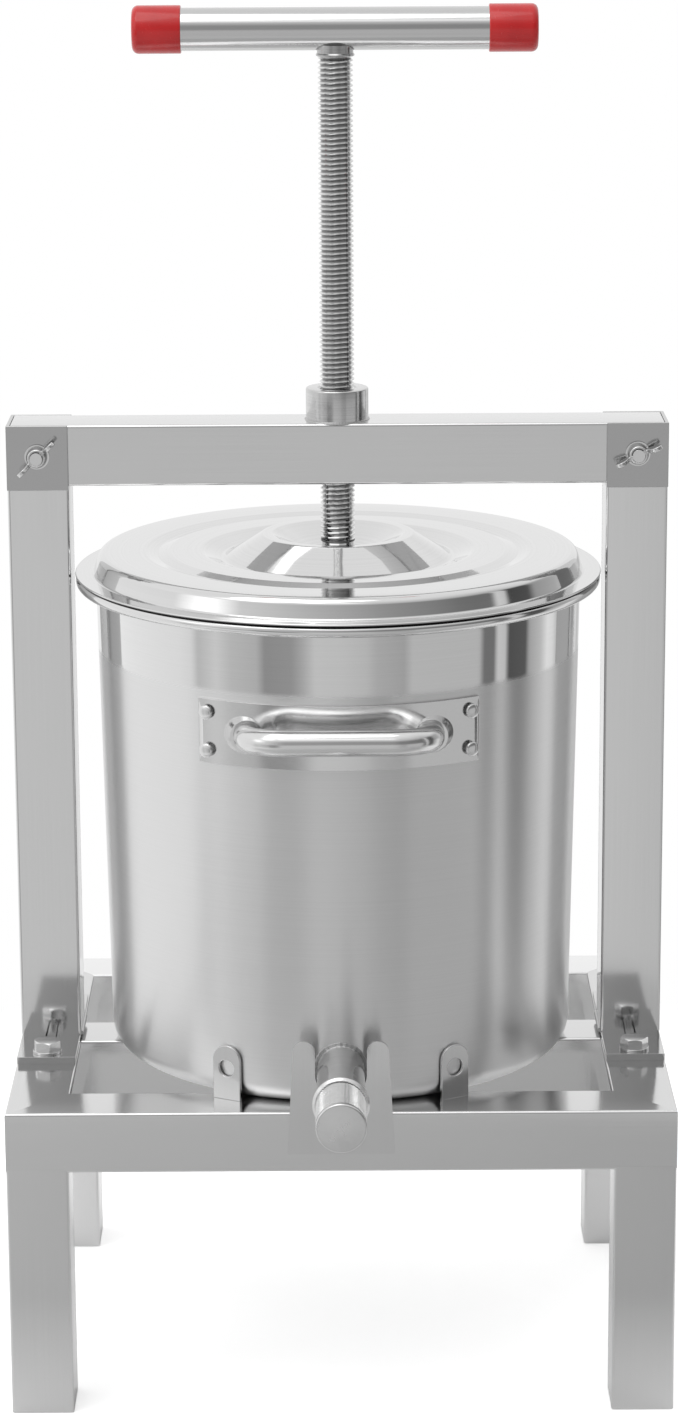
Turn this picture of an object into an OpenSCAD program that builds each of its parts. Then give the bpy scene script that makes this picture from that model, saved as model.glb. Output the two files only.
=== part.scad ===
/* [Pot] */
// Outer radius of the pot's wall just under its rim
pot_top_r = 99.3; // [92:0.1:105]
// How much narrower the pot's foot is than its top, in radius
pot_taper = 3.9; // [1:0.1:6]
// Height of the pot from its floor to the top of its rim
pot_h = 199; // [170:1:230]
// Thickness of the pot's sheet
pot_sheet = 0.8; // [0.6:0.1:1.2]
// Radius of the round corner between the pot's wall and floor
pot_corner_r = 8; // [5:0.5:12]
// Width of the pot's rim outside its wall
pot_rim_w = 8.2; // [6:0.1:10]
// Radius of the rolled bead round the rim
pot_bead_r = 2.4; // [1.8:0.1:3]

/* [Lid] */
// Thickness of the lid's sheet
lid_sheet = 0.8; // [0.6:0.1:1.2]
// Height of the lid's flat top above its rim
lid_step_h = 9; // [6:0.5:14]
// Height of the raised ring round the lid's centre above the flat top, at the sheet's middle
lid_crest_h = 6.5; // [4:0.5:8]
// Radius of the raised ring's crest, as a share of the pot's
lid_crest_share = 0.312; // [0.28:0.002:0.36]
// Radius of the raised ring's foot, as a share of the pot's
lid_cone_share = 0.473; // [0.44:0.001:0.5]
// Radius of the shallow groove round the lid's flat top, as a share of the pot's
lid_groove_share = 0.745; // [0.7:0.005:0.78]

/* [Filter basket] */
// Gap between the basket's wall and the pot's foot
basket_gap = 8; // [6:0.5:12]
// How far the basket's rim lies below the pot's
basket_drop = 18.2; // [14:0.1:60]
// Thickness of the basket's sheet
basket_sheet = 0.8; // [0.6:0.1:1.2]
// Height of the feet under the basket
basket_foot_h = 8; // [6:0.5:12]
// Radius of each hole in the basket
basket_hole_r = 2; // [1.5:0.1:2.5]
// Number of holes in one row round the basket
basket_holes = 24; // [18:1:30]
// Number of rows of holes up the basket's wall
basket_rows = 8; // [5:1:9]

/* [Press plate] */
// Thickness of the press plate
plate_t = 3; // [2:0.5:5]
// Gap between the press plate and the basket's wall
plate_gap = 1.2; // [0.8:0.1:3]
// Height of the cup at the press plate's centre
plate_cup_h = 9; // [6:0.5:14]

/* [Frame tube] */
// Side of the square tube that the frame is welded from
tube_side = 25; // [22:0.5:30]
// Wall of the square tube
tube_wall = 1.5; // [1:0.1:2]
// Radius of the square tube's outer corners
tube_corner_r = 1.2; // [0.8:0.1:1.4]

/* [Base] */
// Height of the base from the floor to the top of its rails
base_h = 128; // [100:1:160]
// Room between the lid's rim and the inside of each post
rim_gap = 1.2; // [1:0.1:3]
// How far the front and rear rails reach past the pot's foot
rail_lead = 7.1; // [6:0.1:12]

/* [Post feet] */
// Thickness of the plate under each post
foot_plate_t = 3; // [2:0.5:5]
// Length of the plate under each post, front to back
foot_plate_len = 84; // [78:1:100]
// Diameter of the bolts through the foot plates
foot_bolt_d = 6; // [5:0.5:7]

/* [Beam and saddles] */
// Room between the lid's flat top and the underside of the beam
beam_room = 28.6; // [26:0.1:50]
// Thickness of the folded sheet of each saddle
saddle_sheet = 1.5; // [1:0.1:2]
// Diameter of the bolts that hold the beam in its saddles
beam_bolt_d = 5; // [4:0.5:6]
// Thread pitch of those bolts
beam_bolt_pitch = 0.8; // [0.7:0.05:1]

/* [Screw] */
// Outer diameter of the screw's thread
screw_d = 14; // [12:0.5:16]
// Thread pitch of the screw
screw_pitch = 2; // [1.5:0.25:2.5]
// Depth of the screw's thread
screw_thread_depth = 1.1; // [0.8:0.1:1.2]
// Height of the handle's centre line above the beam
handle_rise = 156.8; // [120:1:200]
// Diameter of the threaded boss on the beam
boss_d = 25.4; // [22:0.2:30]
// Height of the threaded boss above the beam
boss_h = 13; // [10:0.5:20]

/* [Handle] */
// Length of the handle over its end caps
handle_len = 162; // [140:1:220]
// Diameter of the handle's tube
handle_d = 17; // [16:0.5:20]
// Wall of the handle's tube
handle_wall = 1.5; // [1:0.1:2]
// Length of each plastic end cap
cap_len = 19.8; // [14:0.2:26]
// Wall of each plastic end cap
cap_wall = 1; // [0.8:0.1:2]

/* [Pot handles] */
// Diameter of the bar of each pot handle
bar_d = 10.4; // [8:0.2:12]
// Distance between the two ends of a pot handle's bar
bar_span = 72; // [66:0.5:80]
// Room for the fingers between the bar and the pot's widest wall
finger_room = 10.7; // [8:0.1:20]
// Height above the pot's floor at which the bar enters its plate
bar_z = 152.6; // [130:0.2:165]
// How far the grip stands above the bar's two ends
bar_rise = 2.3; // [0.5:0.1:4]
// Height of the plate behind each pot handle
grip_plate_h = 26; // [22:0.5:30]
// Thickness of the plate behind each pot handle
grip_plate_t = 1.2; // [0.8:0.1:2]

/* [Spout] */
// Outer radius of the spout's pipe
spout_r = 9.5; // [8.8:0.1:10.5]
// Height of the spout's centre line above the pot's floor
spout_z = 16.6; // [15:0.2:20]
// Length of the pipe that shows between the pot and its cap
spout_show = 43; // [30:0.5:60]
// Length of the spout's cap
spout_cap_len = 28; // [26:0.5:36]
// Thread pitch of the spout's cap
spout_pitch = 1.5; // [1:0.25:2]
// Thickness of the bracket that holds the spout
bracket_t = 1.5; // [1:0.1:2.5]

/* [Hidden] */
$fn = 72;

// How far every cut runs past the surface it opens
over = 1;
// Clearance of a shaft that turns or slides in its bore
run_gap = 0.08;
// Clearance round a part that is welded or riveted where it stands
weld_gap = 0.03;
// Clearance that lets a part be lifted in and out
loose_gap = 0.3;
// Clearance round a bolt in its hole
bolt_gap = 0.2;

// The pot stands on the base, and all heights follow from there
pot_rim_z = base_h + pot_h;
pot_foot_r = pot_top_r - pot_taper;
lid_rim_r = pot_top_r + pot_rim_w + 0.3 * lid_sheet;
lid_top_z = pot_rim_z + lid_step_h;
beam_z = lid_top_z + beam_room;
beam_top_z = beam_z + tube_side;
handle_z = beam_top_z + handle_rise;
post_x = lid_rim_r + rim_gap + tube_side / 2;
base_w = 2 * post_x + tube_side;
base_d = 2 * (pot_foot_r + rail_lead);
foot_top_z = base_h + foot_plate_t;

// The pot's outer radius at a height above its floor
function pot_r(h) = pot_foot_r + (pot_top_r - pot_foot_r) * h / pot_h;

// Points along a sheet's middle line, with a radius at each corner: [radius, height, corner]
corner_steps = 6;
function unit(v) = v / norm(v);
function left_of(v) = [-v.y, v.x];
function flat_pt(p) = [p.x, p.y];
function fillet(a, b, c, r) =
    let (u = unit(a - b), w = unit(c - b), half = acos(u * w) / 2, d = r / tan(half),
         m = b + unit(u + w) * r / sin(half), s = b + u * d - m, e = b + w * d - m,
         turn = (s.x * e.y - s.y * e.x) > 0 ? 1 : -1, sweep = turn * acos(unit(s) * unit(e)))
    [for (k = [0:corner_steps]) let (t = sweep * k / corner_steps)
        m + [s.x * cos(t) - s.y * sin(t), s.x * sin(t) + s.y * cos(t)]];
function rounded(p) = [for (i = [0:len(p) - 1])
    each (i == 0 || i == len(p) - 1 || p[i][2] == 0) ? [flat_pt(p[i])]
        : fillet(flat_pt(p[i - 1]), flat_pt(p[i]), flat_pt(p[i + 1]), p[i][2])];
function side_step(path, i) =
    let (n = len(path) - 1,
         a = left_of(unit(i > 0 ? path[i] - path[i - 1] : path[1] - path[0])),
         b = left_of(unit(i < n ? path[i + 1] - path[i] : path[n] - path[n - 1])),
         m = unit(a + b))
    m / (m * a);
function sheet(path, t) = concat(
    [for (i = [0:len(path) - 1]) path[i] + side_step(path, i) * t / 2],
    [for (i = [len(path) - 1:-1:0]) path[i] - side_step(path, i) * t / 2]);

module spun_sheet(points, t) {
    rotate_extrude($fn = 144) polygon(sheet(rounded(points), t));
}

// A ring or disc standing on z = 0, with its bore
module ring(r_out, r_in, h) {
    difference() {
        cylinder(r = r_out, h = h);
        translate([0, 0, -over]) cylinder(r = r_in, h = h + 2 * over);
    }
}

// A thread drawn as even ridges, standing on z = 0
thread_flat_share = 0.2;
module ridged_rod(r, depth, pitch, length) {
    turns = floor(length / pitch);
    flat = pitch * thread_flat_share;
    rotate_extrude() polygon(concat([[0, 0]],
        [for (i = [0:turns - 1]) each [
            [r - depth, i * pitch], [r, (i + 0.5) * pitch - flat / 2],
            [r, (i + 0.5) * pitch + flat / 2]]],
        [[r - depth, turns * pitch], [r - depth, length], [0, length]]));
}

// Square tube along z, with round corners
module square_outline(side, r) {
    square([side - 2 * r, side], center = true);
    square([side, side - 2 * r], center = true);
    for (x = [-1, 1], y = [-1, 1])
        translate([x, y] * (side / 2 - r)) circle(r = r, $fn = 24);
}
module square_tube(length) {
    linear_extrude(length) difference() {
        square_outline(tube_side, tube_corner_r);
        square(tube_side - 2 * tube_wall, center = true);
    }
}

// A tube of the base along x, with its ends mitred to meet the rails at its corners
module mitred_rail(length) {
    intersection() {
        translate([-length / 2, 0, 0]) rotate([0, 90, 0]) square_tube(length);
        linear_extrude(tube_side + 2 * over, center = true) polygon([
            [-length / 2, -tube_side / 2], [length / 2, -tube_side / 2],
            [length / 2 - tube_side, tube_side / 2], [tube_side - length / 2, tube_side / 2]]);
    }
}

rail_z = base_h - tube_side / 2;
rail_y = base_d / 2 - tube_side / 2;
foot_bolt_y = foot_plate_len / 2 - 1.15 * foot_bolt_d;

module front_rail() color("silver") translate([0, -rail_y, rail_z]) mitred_rail(base_w);
module rear_rail() color("silver") translate([0, rail_y, rail_z]) rotate([0, 0, 180]) mitred_rail(base_w);

module side_rail() {
    difference() {
        translate([post_x, 0, rail_z]) rotate([0, 0, 90]) mitred_rail(base_d);
        for (y = [-1, 1]) translate([post_x, y * foot_bolt_y, base_h - tube_side - over])
            cylinder(d = foot_bolt_d + 2 * bolt_gap, h = tube_side + 2 * over);
    }
}
module right_rail() color("silver") side_rail();
module left_rail() color("silver") mirror([1, 0, 0]) side_rail();

module middle_rail() color("silver")
    translate([tube_side / 2 - post_x, 0, rail_z]) rotate([0, 90, 0]) square_tube(2 * post_x - tube_side);

module leg(x, y) color("silver") translate([x * post_x, y * rail_y, 0]) square_tube(base_h - tube_side);
module front_left_leg() leg(-1, -1);
module front_right_leg() leg(1, -1);
module rear_left_leg() leg(-1, 1);
module rear_right_leg() leg(1, 1);

// Posts and their foot plates
module post() translate([post_x, 0, foot_top_z]) square_tube(beam_z - saddle_sheet - foot_top_z);
module right_post() color("silver") post();
module left_post() color("silver") mirror([1, 0, 0]) post();

foot_plate_w = tube_side - tube_corner_r / 2;
module foot_plate() {
    difference() {
        translate([post_x, 0, base_h + foot_plate_t / 2])
            cube([foot_plate_w, foot_plate_len, foot_plate_t], center = true);
        for (y = [-1, 1]) translate([post_x, y * foot_bolt_y, base_h - over])
            cylinder(d = foot_bolt_d + 2 * bolt_gap, h = foot_plate_t + 2 * over);
    }
}
module right_foot_plate() color("silver") foot_plate();
module left_foot_plate() color("silver") mirror([1, 0, 0]) foot_plate();

// Sizes of a hex bolt set, as shares of the bolt's diameter
hex_share = 1.667;
head_share = 0.667;
nut_share = 0.83;
washer_d_share = 2;
washer_t_share = 0.2;
washer_t = foot_bolt_d * washer_t_share;
nut_z = base_h - tube_side - washer_t - foot_bolt_d * nut_share;
module hexagon(across, h) cylinder(d = across / cos(30), h = h, $fn = 6);
module at_foot_bolts() for (x = [-1, 1], y = [-1, 1]) translate([x * post_x, y * foot_bolt_y, 0]) children();

module foot_bolts() color("gainsboro") at_foot_bolts() {
    translate([0, 0, nut_z - foot_bolt_d / 4])
        cylinder(d = foot_bolt_d, h = foot_top_z + washer_t - nut_z + foot_bolt_d / 4, $fn = 48);
    translate([0, 0, foot_top_z + washer_t]) hexagon(foot_bolt_d * hex_share, foot_bolt_d * head_share);
}
module foot_washers() color("gainsboro") at_foot_bolts()
    for (z = [foot_top_z, base_h - tube_side - washer_t]) translate([0, 0, z])
        ring(foot_bolt_d * washer_d_share / 2, foot_bolt_d / 2 + bolt_gap, washer_t, $fn = 48);
module foot_nuts() color("gainsboro") at_foot_bolts() translate([0, 0, nut_z]) difference() {
    hexagon(foot_bolt_d * hex_share, foot_bolt_d * nut_share);
    translate([0, 0, -over]) cylinder(d = foot_bolt_d + 2 * weld_gap, h = foot_bolt_d * nut_share + 2 * over);
}

// Saddles: a folded channel on each post, open above and towards the pot
saddle_gap = 0.15;
cheek_y = tube_side / 2 + saddle_gap;
bolt_z = beam_z + tube_side / 2;
beam_end_x = base_w / 2 - saddle_sheet - 2 * saddle_gap;
module cheek_hole() translate([post_x, 0, bolt_z]) rotate([90, 0, 0])
    cylinder(d = beam_bolt_d + 2 * bolt_gap, h = tube_side + 4 * over + 2 * saddle_sheet, center = true, $fn = 48);
module saddle() {
    z0 = beam_z - saddle_sheet;
    h = tube_side + saddle_sheet;
    x0 = post_x - tube_side / 2;
    difference() {
        translate([x0, -cheek_y - saddle_sheet, z0]) cube([tube_side, 2 * (cheek_y + saddle_sheet), h]);
        translate([x0 - over, -cheek_y, beam_z]) cube([tube_side + over - saddle_sheet, 2 * cheek_y, h]);
        cheek_hole();
    }
}
module right_saddle() color("silver") saddle();
module left_saddle() color("silver") mirror([1, 0, 0]) saddle();

// The beam and the threaded boss that is let into it
boss_step = 3.2;
boss_shank_r = boss_d / 2 - boss_step;
module beam() color("silver") difference() {
    translate([-beam_end_x, 0, beam_z + tube_side / 2]) rotate([0, 90, 0]) square_tube(2 * beam_end_x);
    translate([0, 0, beam_z - over]) cylinder(r = boss_shank_r + weld_gap, h = tube_side + 2 * over);
    cheek_hole();
    mirror([1, 0, 0]) cheek_hole();
}
boss_bore_r = screw_d / 2 + run_gap;
module screw_boss() color("lightgray") difference() {
    union() {
        translate([0, 0, beam_top_z]) cylinder(d = boss_d, h = boss_h);
        translate([0, 0, beam_z]) cylinder(r = boss_shank_r, h = tube_side);
    }
    translate([0, 0, beam_z - over]) cylinder(r = boss_bore_r, h = tube_side + boss_h + 2 * over);
}

// Bolts, washers and wing nuts that hold the beam; the bolts come in from the rear
side_y = cheek_y + saddle_sheet;
beam_washer_t = beam_bolt_d * washer_t_share;
wing_hub_h = beam_bolt_d * 0.8;
bolt_tip_y = side_y + beam_washer_t + wing_hub_h + beam_bolt_d * 0.3;
module at_beam_bolt(x) translate([x * post_x, 0, bolt_z]) rotate([90, 0, 0]) children();
module beam_bolts() color("gainsboro") for (x = [-1, 1]) at_beam_bolt(x) {
    translate([0, 0, -side_y]) cylinder(d = beam_bolt_d, h = side_y + bolt_tip_y, $fn = 48);
    translate([0, 0, -side_y - beam_bolt_d * head_share]) hexagon(beam_bolt_d * hex_share, beam_bolt_d * head_share);
}
module beam_washer(x) color("gainsboro") at_beam_bolt(x) translate([0, 0, side_y])
    ring(beam_bolt_d * washer_d_share / 2, beam_bolt_d / 2 + run_gap, beam_washer_t, $fn = 48);
module left_washer() beam_washer(-1);
module right_washer() beam_washer(1);

// A wing nut: a hub with two flat ears that lean outwards
ear_t = 1.7;
ear_reach = beam_bolt_d * 2;
ear_end_r = beam_bolt_d * 0.46;
module ear() {
    rotate([90, 0, 0]) linear_extrude(ear_t, center = true) {
        polygon([[0, 0.2 * wing_hub_h], [beam_bolt_d * 0.85, 0.1 * wing_hub_h],
            [ear_reach - ear_end_r * 0.1, wing_hub_h * 1.05], [ear_reach - ear_end_r * 1.7, wing_hub_h * 1.75],
            [beam_bolt_d * 0.7, wing_hub_h], [0, wing_hub_h]]);
        translate([ear_reach - ear_end_r, wing_hub_h * 1.5]) circle(r = ear_end_r, $fn = 32);
    }
}
module wing_nut() {
    bore_r = beam_bolt_d / 2 + run_gap;
    difference() {
        union() {
            cylinder(r1 = beam_bolt_d * 0.86, r2 = beam_bolt_d * 0.74, h = wing_hub_h);
            ear();
            rotate([0, 0, 180]) ear();
        }
        translate([0, 0, -over]) cylinder(r = bore_r, h = 3 * wing_hub_h, $fn = 48);
    }
}
left_wing_turn = 43;
right_wing_turn = 24;
module left_wing_nut() color("gainsboro") at_beam_bolt(-1)
    translate([0, 0, side_y + beam_washer_t]) rotate([0, 0, left_wing_turn]) wing_nut();
module right_wing_nut() color("gainsboro") at_beam_bolt(1)
    translate([0, 0, side_y + beam_washer_t]) rotate([0, 0, right_wing_turn]) wing_nut();

// The lid: a rim on the pot, a flat top, and a raised ring round the hollow that the screw's tip stands in
lid_crest_r = pot_top_r * lid_crest_share;
lid_cone_r = pot_top_r * lid_cone_share;
lid_groove_r = pot_top_r * lid_groove_share;
lid_rim_z = pot_rim_z + lid_sheet / 2;
lid_flat_z = lid_top_z - lid_sheet / 2;
lid_step_r = pot_top_r + lid_sheet;
lid_step_w = 2.6;
lid_step_bend_r = 1.6;
lid_edge_bend_r = 3.2;
lid_groove_w = 5;
lid_groove_depth = 1.2;
lid_groove_bend_r = 2;
lid_cone_depth = 3.5;
lid_cone_run = 9;
lid_cone_bend_r = 4;
lid_crest_w = 4;
lid_crest_bend_r = 1.6;
lid_recess_r = screw_d * 0.95;
lid_recess_bend_r = 3;
lid_recess_depth = 0.5;
lid_cone_z = lid_flat_z - lid_cone_depth;
lid_crest_z = lid_flat_z + lid_crest_h;
lid_seat_z = lid_flat_z - lid_recess_depth;

// The screw: a plain tip with a groove for the stop ring, a thread, and a neck under the handle
tip_z = lid_seat_z + lid_sheet / 2 + run_gap;
tip_r = screw_d / 2 - 0.5 * screw_thread_depth;
tip_h = 3.4;
tip_round = 1.2;
clip_wire_r = 0.55;
groove_h = 2 * clip_wire_r + run_gap;
spigot_r = screw_d * 0.29;
spigot_gap = 0.1;
clip_depth = 0.8;
clip_w = 1.6;
lid_washer_t = 1.2;
lid_washer_r = screw_d * 0.74;
lid_washer_z = lid_seat_z - lid_sheet / 2 - run_gap - lid_washer_t;
spigot_land = 1.2;
spigot_end_z = lid_washer_z - 2 * groove_h - spigot_land;
neck_h = 4.2;
neck_flare = 0.7;
neck_sink = 1.4;
neck_r = screw_d / 2 + neck_flare;
neck_z = handle_z - handle_d / 2 - neck_h + neck_sink;
module handle_bore() translate([-screw_d, 0, handle_z]) rotate([0, 90, 0])
    cylinder(d = handle_d + 2 * weld_gap, h = 2 * screw_d);
module screw() color("darkgray") difference() {
    thread_z = tip_z + tip_h + groove_h;
    groove_r = screw_d / 2 - screw_thread_depth;
    union() {
        rotate_extrude() polygon([[0, spigot_end_z], [spigot_r, spigot_end_z],
            [spigot_r, lid_washer_z - 2 * groove_h], [spigot_r - clip_depth, lid_washer_z - 2 * groove_h],
            [spigot_r - clip_depth, lid_washer_z - run_gap], [spigot_r, lid_washer_z - run_gap],
            [spigot_r, tip_z], [tip_r - tip_round, tip_z], [tip_r, tip_z + tip_round],
            [tip_r, tip_z + tip_h], [groove_r, tip_z + tip_h], [groove_r, thread_z], [0, thread_z]]);
        translate([0, 0, thread_z])
            ridged_rod(screw_d / 2, screw_thread_depth, screw_pitch, neck_z - thread_z);
        translate([0, 0, neck_z]) cylinder(r1 = screw_d / 2, r2 = neck_r, h = neck_h);
    }
    handle_bore();
}
// The open spring ring just above the lid
stop_ring_r = screw_d / 2 - screw_thread_depth + clip_wire_r + weld_gap;
module stop_ring() color("dimgray") translate([0, 0, tip_z + tip_h + groove_h / 2])
    rotate([0, 0, 115]) rotate_extrude(angle = 310) translate([stop_ring_r, 0]) circle(r = clip_wire_r, $fn = 24);

// The handle across the top of the screw
module handle_tube() color("silver") {
    tube_len = handle_len - 4 * cap_wall;
    translate([-tube_len / 2, 0, handle_z]) rotate([0, 90, 0])
        ring(handle_d / 2, handle_d / 2 - handle_wall, tube_len);
}
module grip_cap() {
    inner = handle_d / 2 + weld_gap;
    outer = inner + cap_wall;
    end_r = 2.4 * cap_wall;
    arc = [for (t = [0:15:90]) [outer - end_r + end_r * cos(t), cap_len - end_r + end_r * sin(t)]];
    floor_z = cap_len - 2 * cap_wall + weld_gap;
    rotate_extrude() polygon(concat([[0, floor_z], [inner, floor_z], [inner, 0], [outer, 0]], arc, [[0, cap_len]]));
}
module right_grip_cap() color("red") translate([handle_len / 2 - cap_len, 0, handle_z]) rotate([0, 90, 0]) grip_cap();
module left_grip_cap() color("red") mirror([1, 0, 0])
    translate([handle_len / 2 - cap_len, 0, handle_z]) rotate([0, 90, 0]) grip_cap();

module lid() color("whitesmoke") difference() {
    spun_sheet([
        [lid_rim_r, lid_rim_z, 0], [lid_step_r, lid_rim_z, lid_step_bend_r],
        [lid_step_r - lid_step_w, lid_flat_z, lid_edge_bend_r],
        [lid_groove_r + lid_groove_w, lid_flat_z, lid_groove_bend_r],
        [lid_groove_r, lid_flat_z - lid_groove_depth, lid_groove_bend_r],
        [lid_groove_r - lid_groove_w, lid_flat_z, lid_groove_bend_r],
        [lid_cone_r + lid_cone_run, lid_flat_z, lid_cone_bend_r], [lid_cone_r, lid_cone_z, lid_cone_bend_r],
        [lid_crest_r, lid_crest_z, lid_crest_bend_r], [lid_crest_r - lid_crest_w, lid_crest_z, lid_crest_bend_r],
        [lid_recess_r, lid_seat_z, lid_recess_bend_r], [0, lid_seat_z, 0]], lid_sheet);
    translate([0, 0, lid_seat_z - over]) cylinder(r = spigot_r + spigot_gap, h = 2 * over);
}
module lid_washer() color("gainsboro") translate([0, 0, lid_washer_z])
    ring(lid_washer_r, spigot_r + weld_gap, lid_washer_t);
module lid_clip() color("gray") translate([0, 0, lid_washer_z - run_gap - 2 * clip_wire_r])
    rotate([0, 0, 30]) rotate_extrude(angle = 300)
        translate([spigot_r - clip_depth + weld_gap, 0]) square([clip_w, 2 * clip_wire_r]);

// The pot: one sheet, drawn as a floor, a wall and a rim that meet edge to edge
wall_mid = pot_sheet / 2;
pot_rim_bend_r = 2.2;
bead_z = pot_rim_z - pot_bead_r;
floor_joint_h = 1.15 * pot_corner_r;
rim_joint_h = pot_h - 2 * pot_bead_r;
foot_pt = [pot_foot_r - wall_mid, base_h + wall_mid, 0];
top_pt = [pot_top_r - wall_mid, pot_rim_z - wall_mid, 0];
function wall_pt(h) = foot_pt + (top_pt - foot_pt) * h / pot_h;
module pot_floor() color("gainsboro") difference() {
    spun_sheet([[0, base_h + wall_mid, 0], foot_pt + [0, 0, pot_corner_r], wall_pt(floor_joint_h)], pot_sheet);
    spout_hole();
}
module pot_wall() color("gainsboro") difference() {
    spun_sheet([wall_pt(floor_joint_h), wall_pt(rim_joint_h)], pot_sheet);
    spout_hole();
    rivet_holes();
}
module pot_rim() color("gainsboro") {
    spun_sheet([wall_pt(rim_joint_h), top_pt + [0, 0, pot_rim_bend_r],
        [pot_top_r + pot_rim_w - pot_bead_r, pot_rim_z - wall_mid, 0]], pot_sheet);
    rotate_extrude($fn = 144) translate([pot_top_r + pot_rim_w - pot_bead_r, bead_z])
        difference() {
            circle(r = pot_bead_r, $fn = 32);
            circle(r = pot_bead_r - pot_sheet, $fn = 32);
        }
}

// A pot handle: a curved plate on the wall, two rivets at each end, and a bent bar
grip_half_turn = 33.6;
rivet_turn = 31.2;
rivet_r = 2;
rivet_head_r = 2.9;
rivet_head_h = 1.3;
rivet_rise = 7.7;
bar_mid_z = base_h + bar_z;
bar_reach = pot_top_r + finger_room + bar_d / 2;
socket_r = 9.2;
socket_h = 2.4;
socket_lip = 1.4;
rivet_gap = 0.2;
function plate_face(z) = pot_r(z - base_h) + weld_gap + grip_plate_t;
module at_rivets() for (side = [0, 180], a = [-1, 1], z = [-1, 1])
    rotate([0, 0, side + a * rivet_turn]) translate([0, 0, bar_mid_z + z * rivet_rise]) rotate([90, 0, 0]) children();
module rivet_holes() at_rivets() translate([0, 0, pot_foot_r - 3 * over])
    cylinder(r = rivet_r + weld_gap, h = pot_top_r - pot_foot_r + 8 * over, $fn = 32);
module grip_plate() {
    z0 = bar_mid_z - grip_plate_h / 2;
    z1 = bar_mid_z + grip_plate_h / 2;
    r0 = pot_r(z0 - base_h) + weld_gap;
    r1 = pot_r(z1 - base_h) + weld_gap;
    difference() {
        union() {
            rotate([0, 0, -90 - grip_half_turn]) rotate_extrude(angle = 2 * grip_half_turn, $fn = 144)
                polygon([[r0, z0], [r0 + grip_plate_t, z0], [r1 + grip_plate_t, z1], [r1, z1]]);
            for (x = [-1, 1]) translate([x * bar_span / 2, -socket_y - socket_h, bar_mid_z]) rotate([-90, 0, 0])
                cylinder(r1 = bar_d / 2 + socket_lip, r2 = socket_r, h = socket_h + socket_r * sin(grip_half_turn));
        }
        rotate_extrude($fn = 144) polygon([[0, z0 - socket_r], [pot_r(z0 - socket_r - base_h) + weld_gap, z0 - socket_r],
            [pot_r(z1 + socket_r - base_h) + weld_gap, z1 + socket_r], [0, z1 + socket_r]]);
        at_grip() for (x = [-1, 1]) translate([x * bar_span / 2, 0, 0]) rotate([-90, 0, 0])
            cylinder(d = bar_d + 2 * weld_gap, h = bar_reach);
        rivet_holes();
    }
}
socket_y = sqrt(pow(plate_face(bar_mid_z), 2) - pow(bar_span / 2, 2));
bar_tilt = atan(bar_rise / (bar_reach - socket_y));
module at_grip() translate([0, -bar_reach, bar_mid_z + bar_rise]) rotate([-bar_tilt, 0, 0]) children();
bar_bend_r = bar_d * 1.5;
bar_foot_y = sqrt(pow(pot_r(bar_z + bar_d / 2) + weld_gap, 2) - pow(bar_span / 2 - bar_d / 2, 2)) + loose_gap;
bar_stub = (bar_reach - bar_foot_y) / cos(bar_tilt) - bar_bend_r - bar_d / 2 * tan(bar_tilt);
module bar_leg(x) translate([x * bar_span / 2, bar_bend_r, 0]) rotate([-90, 0, 0])
    cylinder(d = bar_d, h = bar_stub);
module bar_bend(x) translate([x * (bar_span / 2 - bar_bend_r), bar_bend_r, 0])
    rotate([0, 0, x > 0 ? -90 : 180]) rotate_extrude(angle = 90) translate([bar_bend_r, 0]) circle(d = bar_d);
module bar_grip() translate([bar_bend_r - bar_span / 2, 0, 0]) rotate([0, 90, 0])
    cylinder(d = bar_d, h = bar_span - 2 * bar_bend_r);
module front_bar() at_grip() {
    bar_leg(-1);
    bar_bend(-1);
    bar_grip();
    bar_bend(1);
    bar_leg(1);
}
module front_handle_plate() color("gainsboro") grip_plate();
module rear_handle_plate() color("gainsboro") rotate([0, 0, 180]) grip_plate();
module front_handle_bar() color("whitesmoke") front_bar();
module rear_handle_bar() color("whitesmoke") rotate([0, 0, 180]) front_bar();
module handle_rivets() color("gainsboro") for (side = [0, 180], a = [-1, 1], z = [-1, 1]) {
    h = bar_mid_z + z * rivet_rise;
    inner = pot_r(h - base_h) - pot_sheet - rivet_head_h - rivet_gap;
    outer = plate_face(h) + rivet_gap;
    rotate([0, 0, side + a * rivet_turn]) translate([0, 0, h]) rotate([90, 0, 0]) {
        translate([0, 0, inner]) cylinder(r = rivet_r, h = outer - inner, $fn = 32);
        translate([0, 0, outer]) cylinder(r1 = rivet_head_r, r2 = rivet_head_r * 0.7, h = rivet_head_h, $fn = 32);
        translate([0, 0, inner]) cylinder(r = rivet_head_r, h = rivet_head_h, $fn = 32);
    }
}

// The spout: a pipe welded through the pot's wall, with a threaded end for its cap
spout_wall = 1.5;
spout_axis_z = base_h + spout_z;
spout_root_y = pot_r(spout_z);
cap_back_y = spout_root_y + spout_show;
cap_front_y = cap_back_y + spout_cap_len;
spout_step = 1.5;
thread_r = spout_r - spout_step;
thread_depth = 0.7;
thread_wall = 1;
shoulder_gap = 0.5;
gasket_gap = 0.1;
cap_end_wall = 5;
gasket_t = 2;
shoulder_y = cap_back_y - shoulder_gap;
pipe_end_y = cap_front_y - cap_end_wall - gasket_t;
bore_r = thread_r - thread_depth - thread_wall;
module spout_axis() translate([0, 0, spout_axis_z]) rotate([90, 0, 0]) children();
module spout_hole() spout_axis() translate([0, 0, spout_root_y - 6 * over])
    cylinder(r = spout_r + weld_gap, h = 12 * over);
module spout_pipe() color("gainsboro") spout_axis() difference() {
    pipe_start = spout_root_y - 3 * spout_wall;
    union() {
        translate([0, 0, pipe_start]) cylinder(r = spout_r, h = shoulder_y - pipe_start);
        translate([0, 0, shoulder_y]) ridged_rod(thread_r, thread_depth, spout_pitch, pipe_end_y - shoulder_y);
    }
    translate([0, 0, pipe_start - over]) cylinder(r = bore_r, h = cap_front_y);
}
flange_t = 2.2;
cap_flange_w = 0.9;
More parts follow.
